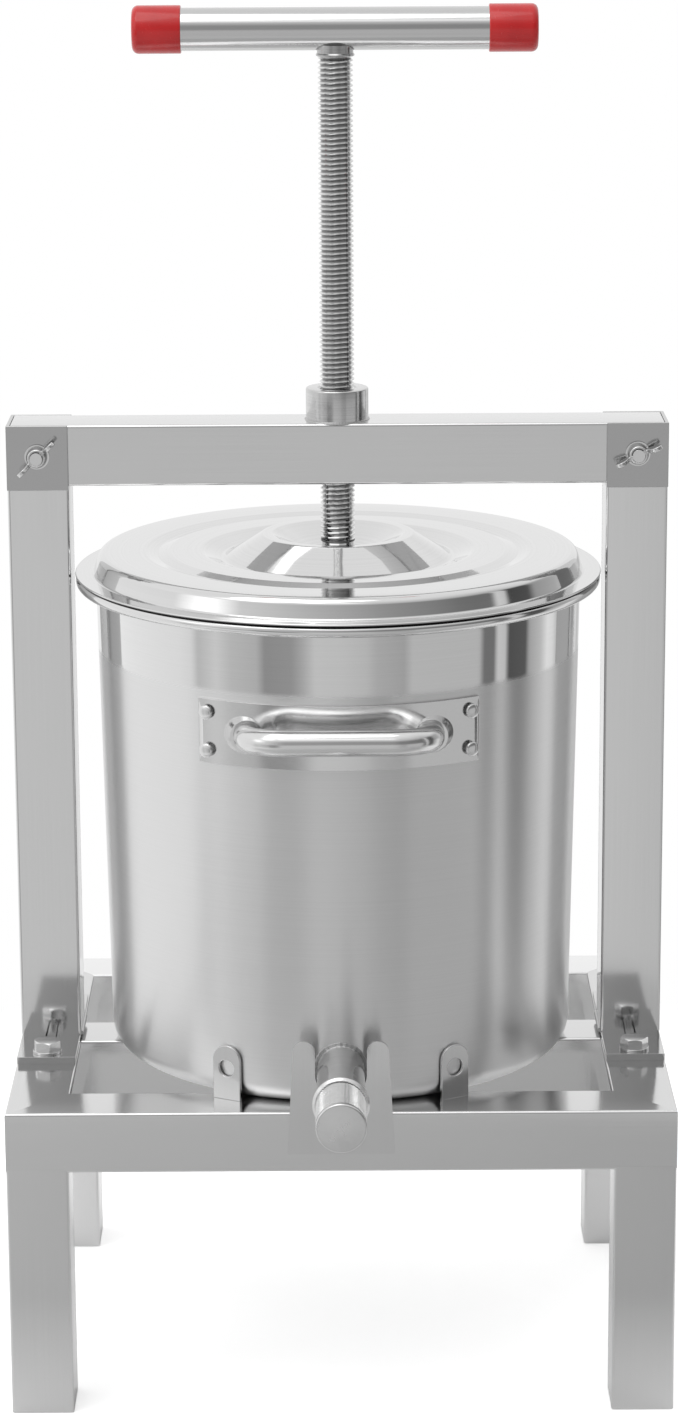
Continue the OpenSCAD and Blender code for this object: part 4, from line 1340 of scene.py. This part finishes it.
@dataclass
class PotHandles:
    """The two side handles: plates, bars and rivets; sizes in metres."""

    palette: Palette
    softener: EdgeSoftener
    rivet_turn: float = 31.2
    rivet_rise: float = 7.7 * MM
    rivet_radius: float = 2.9 * MM
    rivet_height: float = 0.9 * MM
    rivet_sink_share: float = 0.4
    rivet_side_share: float = 0.25
    rivet_reach: float = 1.3 * MM
    rivet_length: float = 5.2 * MM
    wall_tilt: float = 1.1
    bar_radius: float = 5.2 * MM
    bend_share: float = 3.0
    plate_edge: float = 0.25 * MM

    def bar(self, side: int) -> None:
        """Sweeps one bar.

        Args:
            side: -1 for the front handle, 1 for the rear one.
        """
        node = "front_handle_bar" if side < 0 else "rear_handle_bar"
        low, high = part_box(node)
        radius = self.bar_radius
        foot, grip = low.z + radius, high.z - radius
        tilt = math.atan2(grip - foot, high.y - low.y - radius)
        back = radius * math.sin(tilt)
        near, far = (high.y - back, low.y + radius) if side < 0 else (low.y + back, high.y - radius)
        left, right = low.x + radius, high.x - radius
        points = [(left, near, foot), (left, far, grip), (right, far, grip), (right, near, foot)]
        mesh = swept_bar(node, points, radius, radius * self.bend_share, self.palette.grip_bar)
        show(node + "_bend", mesh, self.palette.grip_bar, "frame", [node], 40)

    def rivet_head(self) -> bpy.types.Mesh:
        """Turns one domed rivet head.

        Returns:
            The head's mesh, with its foot a little below z = 0.
        """
        radius, height, side = self.rivet_radius, self.rivet_height, self.rivet_side_share
        sink = -height * self.rivet_sink_share
        dome = [(0.0, sink), (radius, sink), (radius, height * side)]
        dome += [(radius * math.cos(turn), height * (side + (1 - side) * math.sin(turn)))
                 for turn in map(math.radians, (15, 30, 45, 60, 75))]
        return lathe(dome + [(0.0, height)], 24).mesh("rivet head")

    def rivets(self) -> None:
        """Sets the domed rivets that hold the plates, with a head outside and one inside the pot."""
        foot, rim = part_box("handle_rivets")
        outer = (rim.y - foot.y) / 2 / math.cos(math.radians(self.rivet_turn)) - self.rivet_reach
        plate, tilt = middle("front_handle_plate").z, math.radians(self.wall_tilt)
        places = []
        for front in (0, 180):
            for side in (-1, 1):
                turn = math.radians(front + side * self.rivet_turn)
                out = Vector((math.sin(turn), -math.cos(turn), 0.0))
                way = (out * math.cos(tilt) - Vector((0, 0, math.sin(tilt)))).normalized()
                for rise in (-self.rivet_rise, self.rivet_rise):
                    at = Vector((AXIS.x, AXIS.y, plate + rise))
                    for reach, facing in ((outer, way), (outer - self.rivet_length, -way)):
                        turned = facing.to_track_quat("Z", "X").to_matrix().to_4x4()
                        places.append(Matrix.Translation(at + out * reach) @ turned)
        mesh = repeated("handle rivets", self.rivet_head(), places, self.palette.fastener)
        show("rivet_heads", mesh, self.palette.fastener, "frame", ["handle_rivets"], 40)

    def build(self) -> None:
        """Builds both handles."""
        for node in ("front_handle_plate", "rear_handle_plate"):
            self.softener.carry(node, self.palette.grip, self.plate_edge, 20)
        for side in (-1, 1):
            self.bar(side)
        self.rivets()


@dataclass
class Spout:
    """The spout's pipe, its weld on the pot and its knurled cap; sizes in metres."""

    palette: Palette
    softener: EdgeSoftener
    flange_length: float = 2.2 * MM
    flange_edge: float = 0.3 * MM
    flange_step: float = 1.3 * MM
    bevel: float = 0.9 * MM
    neck: float = 0.6 * MM
    knurl_depth: float = 0.5 * MM
    knurls: int = 56
    knurl_steps: int = 4
    knurl_gap: float = 0.1 * MM
    knurl_runout: float = 0.2 * MM
    land: float = 1.6 * MM
    edge: float = 0.8 * MM
    bead: float = 1.0 * MM
    bead_gap: float = 0.2 * MM
    bead_points: int = 56

    def axis_place(self, y: float) -> Matrix:
        """Gives the place of a shape whose Z is the spout's axis, pointing to the front from y."""
        return Matrix.Translation((AXIS.x, y, middle("spout_cap").z)) @ Matrix.Rotation(math.pi / 2, 4, "X")

    def knurl(self, body: float, start: float, end: float) -> bpy.types.Mesh:
        """Rolls the crossed knurl of the cap.

        Args:
            body: Radius over its ridges.
            start: Distance of its start from the cap's back.
            end: Distance of its end from the cap's back.

        Returns:
            The closed sleeve, standing on the cap's back.
        """
        width = body * 2 * math.pi / self.knurls
        columns, rows = self.knurls * self.knurl_steps, int((end - start) / width) * self.knurl_steps
        tree = ShapeTree("cap knurl", {"Radius": body, "Depth": self.knurl_depth, "Start": start, "End": end,
                                       "Columns": columns + 1, "Rows": rows + 1, "Knurls": self.knurls})
        grid, share, along = tree.flat_grid()
        across = tree.math("MULTIPLY", share, tree.size("Knurls"))
        upward = tree.math("MULTIPLY", along, rows / self.knurl_steps)
        first = tree.math("PINGPONG", tree.math("ADD", across, upward), 0.5)
        # A whole number of ridges more keeps the second slant above zero
        slant = tree.math("ADD", tree.math("SUBTRACT", across, upward), 100.0)
        ridge = tree.math("MULTIPLY", tree.math("MINIMUM", first, tree.math("PINGPONG", slant, 0.5)), 2.0)
        cut = tree.math("MULTIPLY", tree.size("Depth"), tree.math("SUBTRACT", 1.0, ridge))
        span = tree.math("SUBTRACT", tree.size("End"), tree.size("Start"))
        height = tree.math("MULTIPLY_ADD", along, span, tree.size("Start"))
        radius = tree.math("SUBTRACT", tree.size("Radius"), cut)
        return tree.make(tree.wound(grid, share, radius, height), self.palette.cap)

    def cap(self) -> None:
        """Turns and knurls the cap."""
        low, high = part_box("spout_cap")
        flange, length = (high.x - low.x) / 2, high.y - low.y
        body, place = flange - self.flange_step, self.axis_place(high.y)
        start, end = self.flange_length + self.neck, length - self.edge - self.land
        knurl = self.knurl(body, start, end)
        knurl.transform(place)
        show("cap_knurl", knurl, self.palette.cap, "spout_cap", ["spout_cap"], 12)
        deep = body - self.knurl_depth
        outline = [(0.0, 0.0), (flange - self.flange_edge, 0.0), (flange, self.flange_edge),
                   (flange, self.flange_length - self.bevel), (flange - self.bevel, self.flange_length),
                   (deep, self.flange_length), (deep, start - self.knurl_gap), (deep, end),
                   (body, end + self.knurl_runout), (body, length - self.edge)]
        outline += arc((body - self.edge, length - self.edge), self.edge, 0, 90, 5) + [(0.0, length)]
        show("cap_turning", lathe(outline).moved(place).mesh("cap_turning"), self.palette.cap, "spout_cap",
             ["spout_cap"], 30)

    def pipe_bead(self) -> None:
        """Lays the weld where the pipe enters the pot's wall."""
        low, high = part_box("spout_pipe")
        foot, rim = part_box("pot_floor")[1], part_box("pot_wall")[1]
        reach, height = (high.x - low.x) / 2 + self.bead_gap, (high.z + low.z) / 2
        wall = foot.x + (rim.x - foot.x) * (height - foot.z) / (rim.z - foot.z)
        points = [(AXIS.x + x, AXIS.y - math.sqrt(wall ** 2 - x ** 2) - self.bead_gap / 2, height + z)
                  for x, z in arc((0.0, 0.0), reach, 0, 360, self.bead_points)[:-1]]
        mesh = weld_bead("spout_bead", points, self.bead, self.palette.bead, closed=True, seed=7.0)
        show("spout_bead", mesh, self.palette.bead, "frame")

    def build(self) -> None:
        """Builds the spout."""
        self.softener.carry("spout_pipe", self.palette.spout)
        self.cap()
        self.pipe_bead()


@dataclass
class Fasteners:
    """Bolts, washers, nuts and the two wing nuts; sizes in metres."""

    palette: Palette
    softener: EdgeSoftener
    foot_bolt: float = 6 * MM
    beam_bolt: float = 5 * MM
    hex_share: float = 1.667
    head_share: float = 0.667
    side_steps: int = 8
    chamfer_shares: Point = (0.96, 0.98)
    chamfer_slope: float = 0.62
    shank_end_share: float = 0.42
    shank_chamfer: float = 0.5 * MM
    first_turn: float = 12.0
    next_turn: float = 9.0
    washer_edge: float = 0.15 * MM
    nut_edge: float = 0.3 * MM
    hub_share: float = 0.8
    hub_gap: float = 0.08 * MM
    hub_round: float = 0.5 * MM
    hub_chamfer: float = 0.4 * MM
    hub_steps: int = 40
    hub_shares: tuple[float, float, float] = (0.86, 0.84, 0.74)
    ear_share: float = 0.46
    ear_thickness: float = 1.7 * MM
    ear_edge: float = 0.45 * MM
    ear_sharp: float = 50.0
    wing_turns: Point = (43.0, 24.0)

    def hex_head(self, across: float, height: float, name: str) -> bpy.types.Mesh:
        """Makes a hexagon head with a turned chamfer, standing on z = 0.

        Args:
            across: Width across its flats.
            height: Its height.
            name: The mesh's name.

        Returns:
            The head's mesh.
        """
        flat, count = across / 2, 6 * self.side_steps
        top, start = (flat * share for share in self.chamfer_shares)
        ring = []
        for k in range(count):
            turn = 360 * k / count
            ring.append((flat / math.cos(math.radians((turn + 30) % 60 - 30)), math.radians(turn)))
        levels = [[(r, turn, 0.0) for r, turn in ring],
                  [(r, turn, height - max(0.0, r - start) * self.chamfer_slope) for r, turn in ring],
                  [(top, turn, height) for _, turn in ring]]
        shape = Shape([(r * math.cos(turn), r * math.sin(turn), z) for level in levels for r, turn, z in level])
        for row in (0, count):
            for k in range(count):
                n = (k + 1) % count
                shape.faces.append((row + k, row + n, row + count + n, row + count + k))
        shape.faces += [tuple(reversed(range(count))), tuple(range(2 * count, 3 * count))]
        return shape.mesh(name)

    def foot_heads(self) -> None:
        """Sets the hexagon heads and nuts of the four bolts in the foot plates."""
        steel = self.palette.fastener
        low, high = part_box("foot_bolts")
        across, height = self.foot_bolt * self.hex_share, self.foot_bolt * self.head_share
        corner, r, top = across / 2 / math.cos(math.radians(30)), self.foot_bolt / 2, high.z - height
        spots = [(x, y) for x in (low.x + corner, high.x - corner) for y in (low.y + across / 2, high.y - across / 2)]
        places = [Matrix.Translation((x, y, top))
                  @ Matrix.Rotation(math.radians(self.first_turn + self.next_turn * i), 4, "Z")
                  for i, (x, y) in enumerate(spots)]
        mesh = repeated("foot bolt heads", self.hex_head(across, height, "foot bolt head"), places, steel)
        show("foot_bolt_heads", mesh, steel, "frame", ["foot_bolts"], 30)
        shank = lathe([(0.0, low.z), (self.foot_bolt * self.shank_end_share, low.z), (r, low.z + self.shank_chamfer),
                       (r, top), (0.0, top)], 32).mesh("foot bolt shank")
        mesh = repeated("foot bolt shanks", shank, [Matrix.Translation((x, y, 0)) for x, y in spots], steel)
        show("foot_bolt_shanks", mesh, steel, "frame", ["foot_bolts"], 30)
        for node, edge in (("foot_washers", self.washer_edge), ("foot_nuts", self.nut_edge),
                           ("beam_bolts", self.nut_edge)):
            self.softener.carry(node, steel, edge)

    def ear(self) -> Shape:
        """Makes one flat ear of a wing nut along X, with its thickness along Y.

        Returns:
            The closed ear, whose outline is drawn in shares of the bolt and of the hub's height.
        """
        d, h = self.beam_bolt, self.beam_bolt * self.hub_share
        reach, end, half = d * 2, d * self.ear_share, self.ear_thickness / 2
        outline = [(0.0, 0.2 * h), (d * 0.85, 0.12 * h), (reach - end * 0.25, h * 0.92)]
        outline += arc((reach - end, h * 1.5), end, -48, 128, 14)
        outline += [(reach - end * 2.3, h * 1.42), (d * 0.78, h * 0.98), (0.0, h)]
        n = len(outline)
        faces = [tuple(range(n)), tuple(range(2 * n - 1, n - 1, -1))]
        faces += [(k, (k + 1) % n, n + (k + 1) % n, n + k) for k in range(n)]
        return Shape([(x, y, z) for y in (-half, half) for x, z in outline], faces)

    def wing_nut(self, node: str, turn: float) -> None:
        """Casts one wing nut.

        Args:
            node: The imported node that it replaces, which is also its body's name.
            turn: Its turn about the bolt, in degrees.
        """
        low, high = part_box(node)
        d, h = self.beam_bolt, self.beam_bolt * self.hub_share
        edge, bore = self.hub_round, d / 2 + self.hub_gap
        foot, waist, top = (d * share for share in self.hub_shares)
        hub = lathe([(bore, 0.0), (foot, 0.0), (waist, h / 2), (top, h - edge)]
                    + arc((top - edge, h - edge), edge, 0, 90, 4)
                    + [(d / 2 + edge, h), (bore, h - self.hub_chamfer)], self.hub_steps, closed=True)
        ear = self.ear()
        work = bmesh.new()
        work.from_mesh(ear.with_shape(ear.moved(Matrix.Rotation(math.pi, 4, "Z"))).mesh(node + " ears"))
        sharp = math.radians(self.ear_sharp)
        edges = [e for e in work.edges if len(e.link_faces) == 2 and e.calc_face_angle(0) > sharp]
        bmesh.ops.bevel(work, geom=edges, offset=self.ear_edge, segments=3, profile=0.6, affect="EDGES",
                        clamp_overlap=True)
        work.from_mesh(hub.mesh(node + " hub"))
        mesh = bpy.data.meshes.new(node)
        work.to_mesh(mesh)
        work.free()
        mesh.transform(Matrix.Translation(((low.x + high.x) / 2, high.y, middle("beam").z))
                       @ Matrix.Rotation(math.pi / 2, 4, "X") @ Matrix.Rotation(math.radians(turn), 4, "Z"))
        show(node + "_casting", mesh, self.palette.cast, node, [node], 40)

    def build(self) -> None:
        """Builds all the fasteners."""
        self.foot_heads()
        for node, turn in zip(("left_wing_nut", "right_wing_nut"), self.wing_turns):
            self.wing_nut(node, turn)
        for node in ("left_washer", "right_washer", "lid_washer"):
            self.softener.carry(node, self.palette.fastener)


@dataclass
class InnerParts:
    """The pieces inside the pot and under the lid."""

    palette: Palette
    softener: EdgeSoftener

    def build(self) -> None:
        """Dresses the hidden pieces."""
        p = self.palette
        for node, finish in (("basket_floor", p.basket), ("basket_wall", p.basket), ("basket_rim", p.basket),
                             ("press_plate", p.press), ("press_cup", p.boss), ("lid_clip", p.spring),
                             ("cap_gasket", p.rubber)):
            self.softener.carry(node, finish)


# Light, floor and camera


@dataclass
class Studio:
    """A plain white studio: world, lamps, floor and camera."""

    floor_radius: float = 0.5
    floor_thickness: float = 4 * MM
    floor_drop: float = 0.2 * MM
    floor_glow: float = 0.47
    floor_grain: float = 60.0
    floor_roughness: Point = (0.85, 0.95)
    # The floor's tone and swing as the camera sees it, then its tones at left, right and back as the steel sees it
    floor_white: Point = (0.91, 0.01)
    floor_tones: tuple[float, float, float] = (0.62, 0.44, 0.95)
    floor_tone_x: Point = (-0.3, 0.3)
    floor_behind_y: Point = (-0.2, -0.05)
    floor_fade: Point = (0.7, 0.95)
    camera_at: tuple[float, float, float] = (0.000064, -1.5524273, 0.66027)
    lens: float = 99.62
    sensor: float = 36.0
    pitch: float = 13.972
    roll: float = -0.329
    # Rays' rise from -1 to 1 over which one part of the room passes into the next
    above_from: Point = (-0.07, 0.01)
    level_from: Point = (-0.5, -0.34)
    level_to: Point = (0.36, 0.52)
    ceiling_from: Point = (0.45, 0.92)
    ground_to: Point = (-0.92, -0.42)
    ceiling: float = 0.95
    ground: float = 0.72
    peak: float = 1.1
    # Half widths of a window's soft edges, in rise and in degrees
    window_rise_blur: float = 0.05
    window_turn_blur: float = 8.0
    # Lowest and highest rise, left and right turn in degrees and light of each window
    windows: tuple[tuple[float, float, float, float, float], ...] = (
        (0.58, 0.84, -66, -34, 0.9), (0.66, 0.79, -24, 12, 0.6), (0.22, 0.46, -76, -56, 0.7))
    # Turn in degrees and light of each panel's edge, for walls below and above the eye and the room behind
    walls: tuple[tuple[float, float], ...] = (
        (-180, 0.85), (-140, 1.05), (-81, 0.9), (-74, 0.84), (-70, 0.6), (-60, 0.74), (-52, 0.6), (-39, 0.53),
        (-35, 0.33), (-22, 0.36), (-17, 0.48), (-11, 0.67), (1, 0.65), (13, 0.59), (18, 0.5), (31, 0.44), (35, 0.58),
        (70, 0.57), (73, 0.2), (79, 0.2), (81, 0.7), (86, 0.64), (88, 0.1), (100, 0.12), (103, 0.46), (112, 0.62),
        (118, 0.92), (123, 0.86), (130, 0.45), (140, 0.95), (160, 0.55), (180, 0.85))
    above: tuple[tuple[float, float], ...] = (
        (-180, 0.98), (-110, 0.97), (-62, 0.9), (-40, 0.72), (-15, 0.48), (0, 0.38), (20, 0.26), (70, 0.2), (78, 0.2),
        (81, 0.8), (86, 0.7), (88, 0.08), (101, 0.1), (106, 0.4), (122, 0.5), (140, 0.9), (180, 0.98))
    room: tuple[tuple[float, float], ...] = (
        (-180, 1.0), (-110, 1.0), (-65, 1.0), (-30, 0.8), (0, 0.62), (30, 0.48), (85, 0.45), (110, 0.8), (140, 1.0),
        (180, 1.0))

    def panels(self, sheet: NodeSheet, share: Socket, stops: Sequence[Point]) -> Socket:
        """Sets pale and grey panels round the room.

        Args:
            sheet: The world's nodes.
            share: Share of the way round of each ray.
            stops: Turn in degrees and light of each panel's edge.

        Returns:
            Their light.
        """
        marks = [((turn + 180) / 360, level / self.peak) for turn, level in stops]
        return sheet.math("MULTIPLY", sheet.ramp(share, marks), self.peak)

    def window(self, sheet: NodeSheet, share: Socket, rise: Socket, sizes: Sequence[float]) -> Socket:
        """Gives the shape of one window with soft edges.

        Args:
            sheet: The world's nodes.
            share: Share of the way round of each ray.
            rise: Rise of each ray.
            sizes: The window's lowest and highest rise, and its left and right turn in degrees.

        Returns:
            1 in the window and 0 outside it.
        """
        foot, top, left, right = sizes
        blur, soft = self.window_rise_blur, self.window_turn_blur
        tall = sheet.math("MULTIPLY", sheet.scale_range(rise, foot - blur, foot + blur),
                          sheet.scale_range(rise, top - blur, top + blur, 1.0, 0.0))
        left, right = left + 180, right + 180
        wide = sheet.math("MULTIPLY", sheet.scale_range(share, (left - soft) / 360, (left + soft) / 360),
                          sheet.scale_range(share, (right - soft) / 360, (right + soft) / 360, 1.0, 0.0))
        return sheet.math("MULTIPLY", tall, wide)

    def world(self) -> None:
        """Builds a room of pale and grey panels that the steel reflects, white to the camera."""
        world = bpy.data.worlds.new("studio")
        bpy.context.scene.world = world
        world.use_nodes = True
        sheet = NodeSheet(world.node_tree)
        sheet.tree.nodes.clear()
        part = sheet.split(sheet.add("ShaderNodeTexCoord").outputs["Generated"])
        rise = part["Z"]
        turn = sheet.math("ARCTAN2", part["X"], sheet.math("MULTIPLY", part["Y"], -1.0))
        share = sheet.math("MULTIPLY_ADD", turn, 1 / (2 * math.pi), 0.5)
        walls, above, room = (self.panels(sheet, share, stops) for stops in (self.walls, self.above, self.room))
        walls = sheet.mix(sheet.scale_range(rise, *self.above_from), walls, above)
        far = sheet.mix(sheet.scale_range(rise, *self.ceiling_from), room, self.ceiling)
        far = sheet.mix(sheet.scale_range(rise, *self.ground_to, 1.0, 0.0), far, self.ground)
        level_band = sheet.math("MULTIPLY", sheet.scale_range(rise, *self.level_to, 1.0, 0.0),
                                sheet.scale_range(rise, *self.level_from))
        light = sheet.mix(level_band, far, walls)
        for *sizes, strength in self.windows:
            light = sheet.math("MULTIPLY_ADD", self.window(sheet, share, rise, sizes), strength, light)
        strength = sheet.mix(sheet.add("ShaderNodeLightPath").outputs["Is Camera Ray"], light, 1.0)
        shade = sheet.add("ShaderNodeBackground", {"Color": (1.0, 1.0, 1.0, 1.0), "Strength": strength})
        sheet.add("ShaderNodeOutputWorld", {0: shade.outputs[0]})

    def lamp(self, name: str, at: Sequence[float], aim: Sequence[float], size: float, power: float,
             mirrored: bool = True) -> None:
        """Hangs one soft square lamp.

        Args:
            name: The lamp's name.
            at: Its place.
            aim: The point that it faces.
            size: Its side.
            power: Its power in watts.
            mirrored: Whether the polished steel shows it.
        """
        data = bpy.data.lights.new(name, "AREA")
        data.shape, data.size, data.energy = "SQUARE", size, power
        lamp = bpy.data.objects.new(name, data)
        lamp.location = at
        lamp.rotation_euler = (Vector(aim) - Vector(at)).to_track_quat("-Z", "Y").to_euler()
        lamp.visible_glossy = mirrored
        bpy.context.scene.collection.objects.link(lamp)

    def floor(self) -> None:
        """Lays a white floor disc that takes the press's shadow and fades out into the white behind."""
        sheet = FinishSheet("floor paint")
        here = sheet.place()
        grain = sheet.noise(here, self.floor_grain)
        ray = sheet.add("ShaderNodeLightPath").outputs["Is Camera Ray"]
        spot = sheet.split(here)
        left, right, back = self.floor_tones
        grey = sheet.scale_range(spot["X"], *self.floor_tone_x, left, right)
        grey = sheet.mix(sheet.scale_range(spot["Y"], *self.floor_behind_y), grey, back)
        colour = sheet.mix(ray, grey, sheet.shade(grain, *self.floor_white))
        material = sheet.dress(colour, sheet.vary(grain, *self.floor_roughness))
        white = (1.0, 1.0, 1.0, 1.0)
        shine = sheet.math("MULTIPLY", ray, self.floor_glow)
        glow = sheet.add("ShaderNodeEmission", {"Color": white, "Strength": shine})
        both = sheet.add("ShaderNodeAddShader", {0: sheet.shader.outputs[0], 1: glow.outputs[0]})
        fade = (self.floor_radius * share for share in self.floor_fade)
        edge = sheet.scale_range(sheet.vector("LENGTH", here), *fade)
        plain = sheet.add("ShaderNodeEmission", {"Color": white, "Strength": 1.0})
        paint = sheet.add("ShaderNodeMixShader", {0: sheet.math("MULTIPLY", ray, edge), 1: both.outputs[0],
                                                  2: plain.outputs[0]})
        sheet.tree.links.new(paint.outputs[0], sheet.output.inputs["Surface"])
        radius, foot = self.floor_radius, -self.floor_drop - self.floor_thickness
        disc = lathe([(0.0, -self.floor_drop), (radius, -self.floor_drop), (radius, foot), (0.0, foot)])
        mesh = disc.mesh("floor")
        mesh.materials.append(material)
        ground = bpy.data.objects.new("floor", mesh)
        bpy.context.scene.collection.objects.link(ground)

    def camera(self) -> None:
        """Sets the camera at the photograph's place."""
        pitch, roll = math.radians(self.pitch), math.radians(self.roll)
        ahead = Vector((0, math.cos(pitch), -math.sin(pitch)))
        right = Vector((1, 0, 0))
        up = right.cross(ahead)
        side = right * math.cos(roll) + up * math.sin(roll)
        top = up * math.cos(roll) - right * math.sin(roll)
        data = bpy.data.cameras.new("camera")
        data.lens, data.sensor_width, data.sensor_height = self.lens, self.sensor, self.sensor
        data.sensor_fit = "VERTICAL"
        camera = bpy.data.objects.new("camera", data)
        place = Matrix((side, top, -ahead)).transposed().to_4x4()
        place.translation = Vector(self.camera_at)
        camera.matrix_world = place
        bpy.context.scene.collection.objects.link(camera)
        bpy.context.scene.camera = camera

    def build(self) -> None:
        """Builds the studio."""
        bpy.context.scene.view_settings.view_transform = "Standard"
        self.world()
        self.lamp("overhead lamp", (-0.3, -0.35, 1.6), (0, 0, 0.3), 0.9, 3.5)
        self.lamp("side lamp", (-1.2, -1.0, 0.9), (0, 0, 0.3), 0.8, 1.2, mirrored=False)
        self.floor()
        self.camera()
        LOG.info("studio ready")


def main() -> None:
    """Builds the press from the stand up, then the studio."""
    logging.basicConfig(level=logging.INFO, format="%(message)s")
    palette, softener = Palette(), EdgeSoftener()
    for part in (TubeFrame(palette, softener), StockPot(palette), PotHandles(palette, softener),
                 Spout(palette, softener), PotLid(palette), PressScrew(palette), CrossHandle(palette, softener),
                 Fasteners(palette, softener), InnerParts(palette, softener), Studio()):
        part.build()
        LOG.info("%s done", type(part).__name__)


if __name__ == "__main__":
    main()
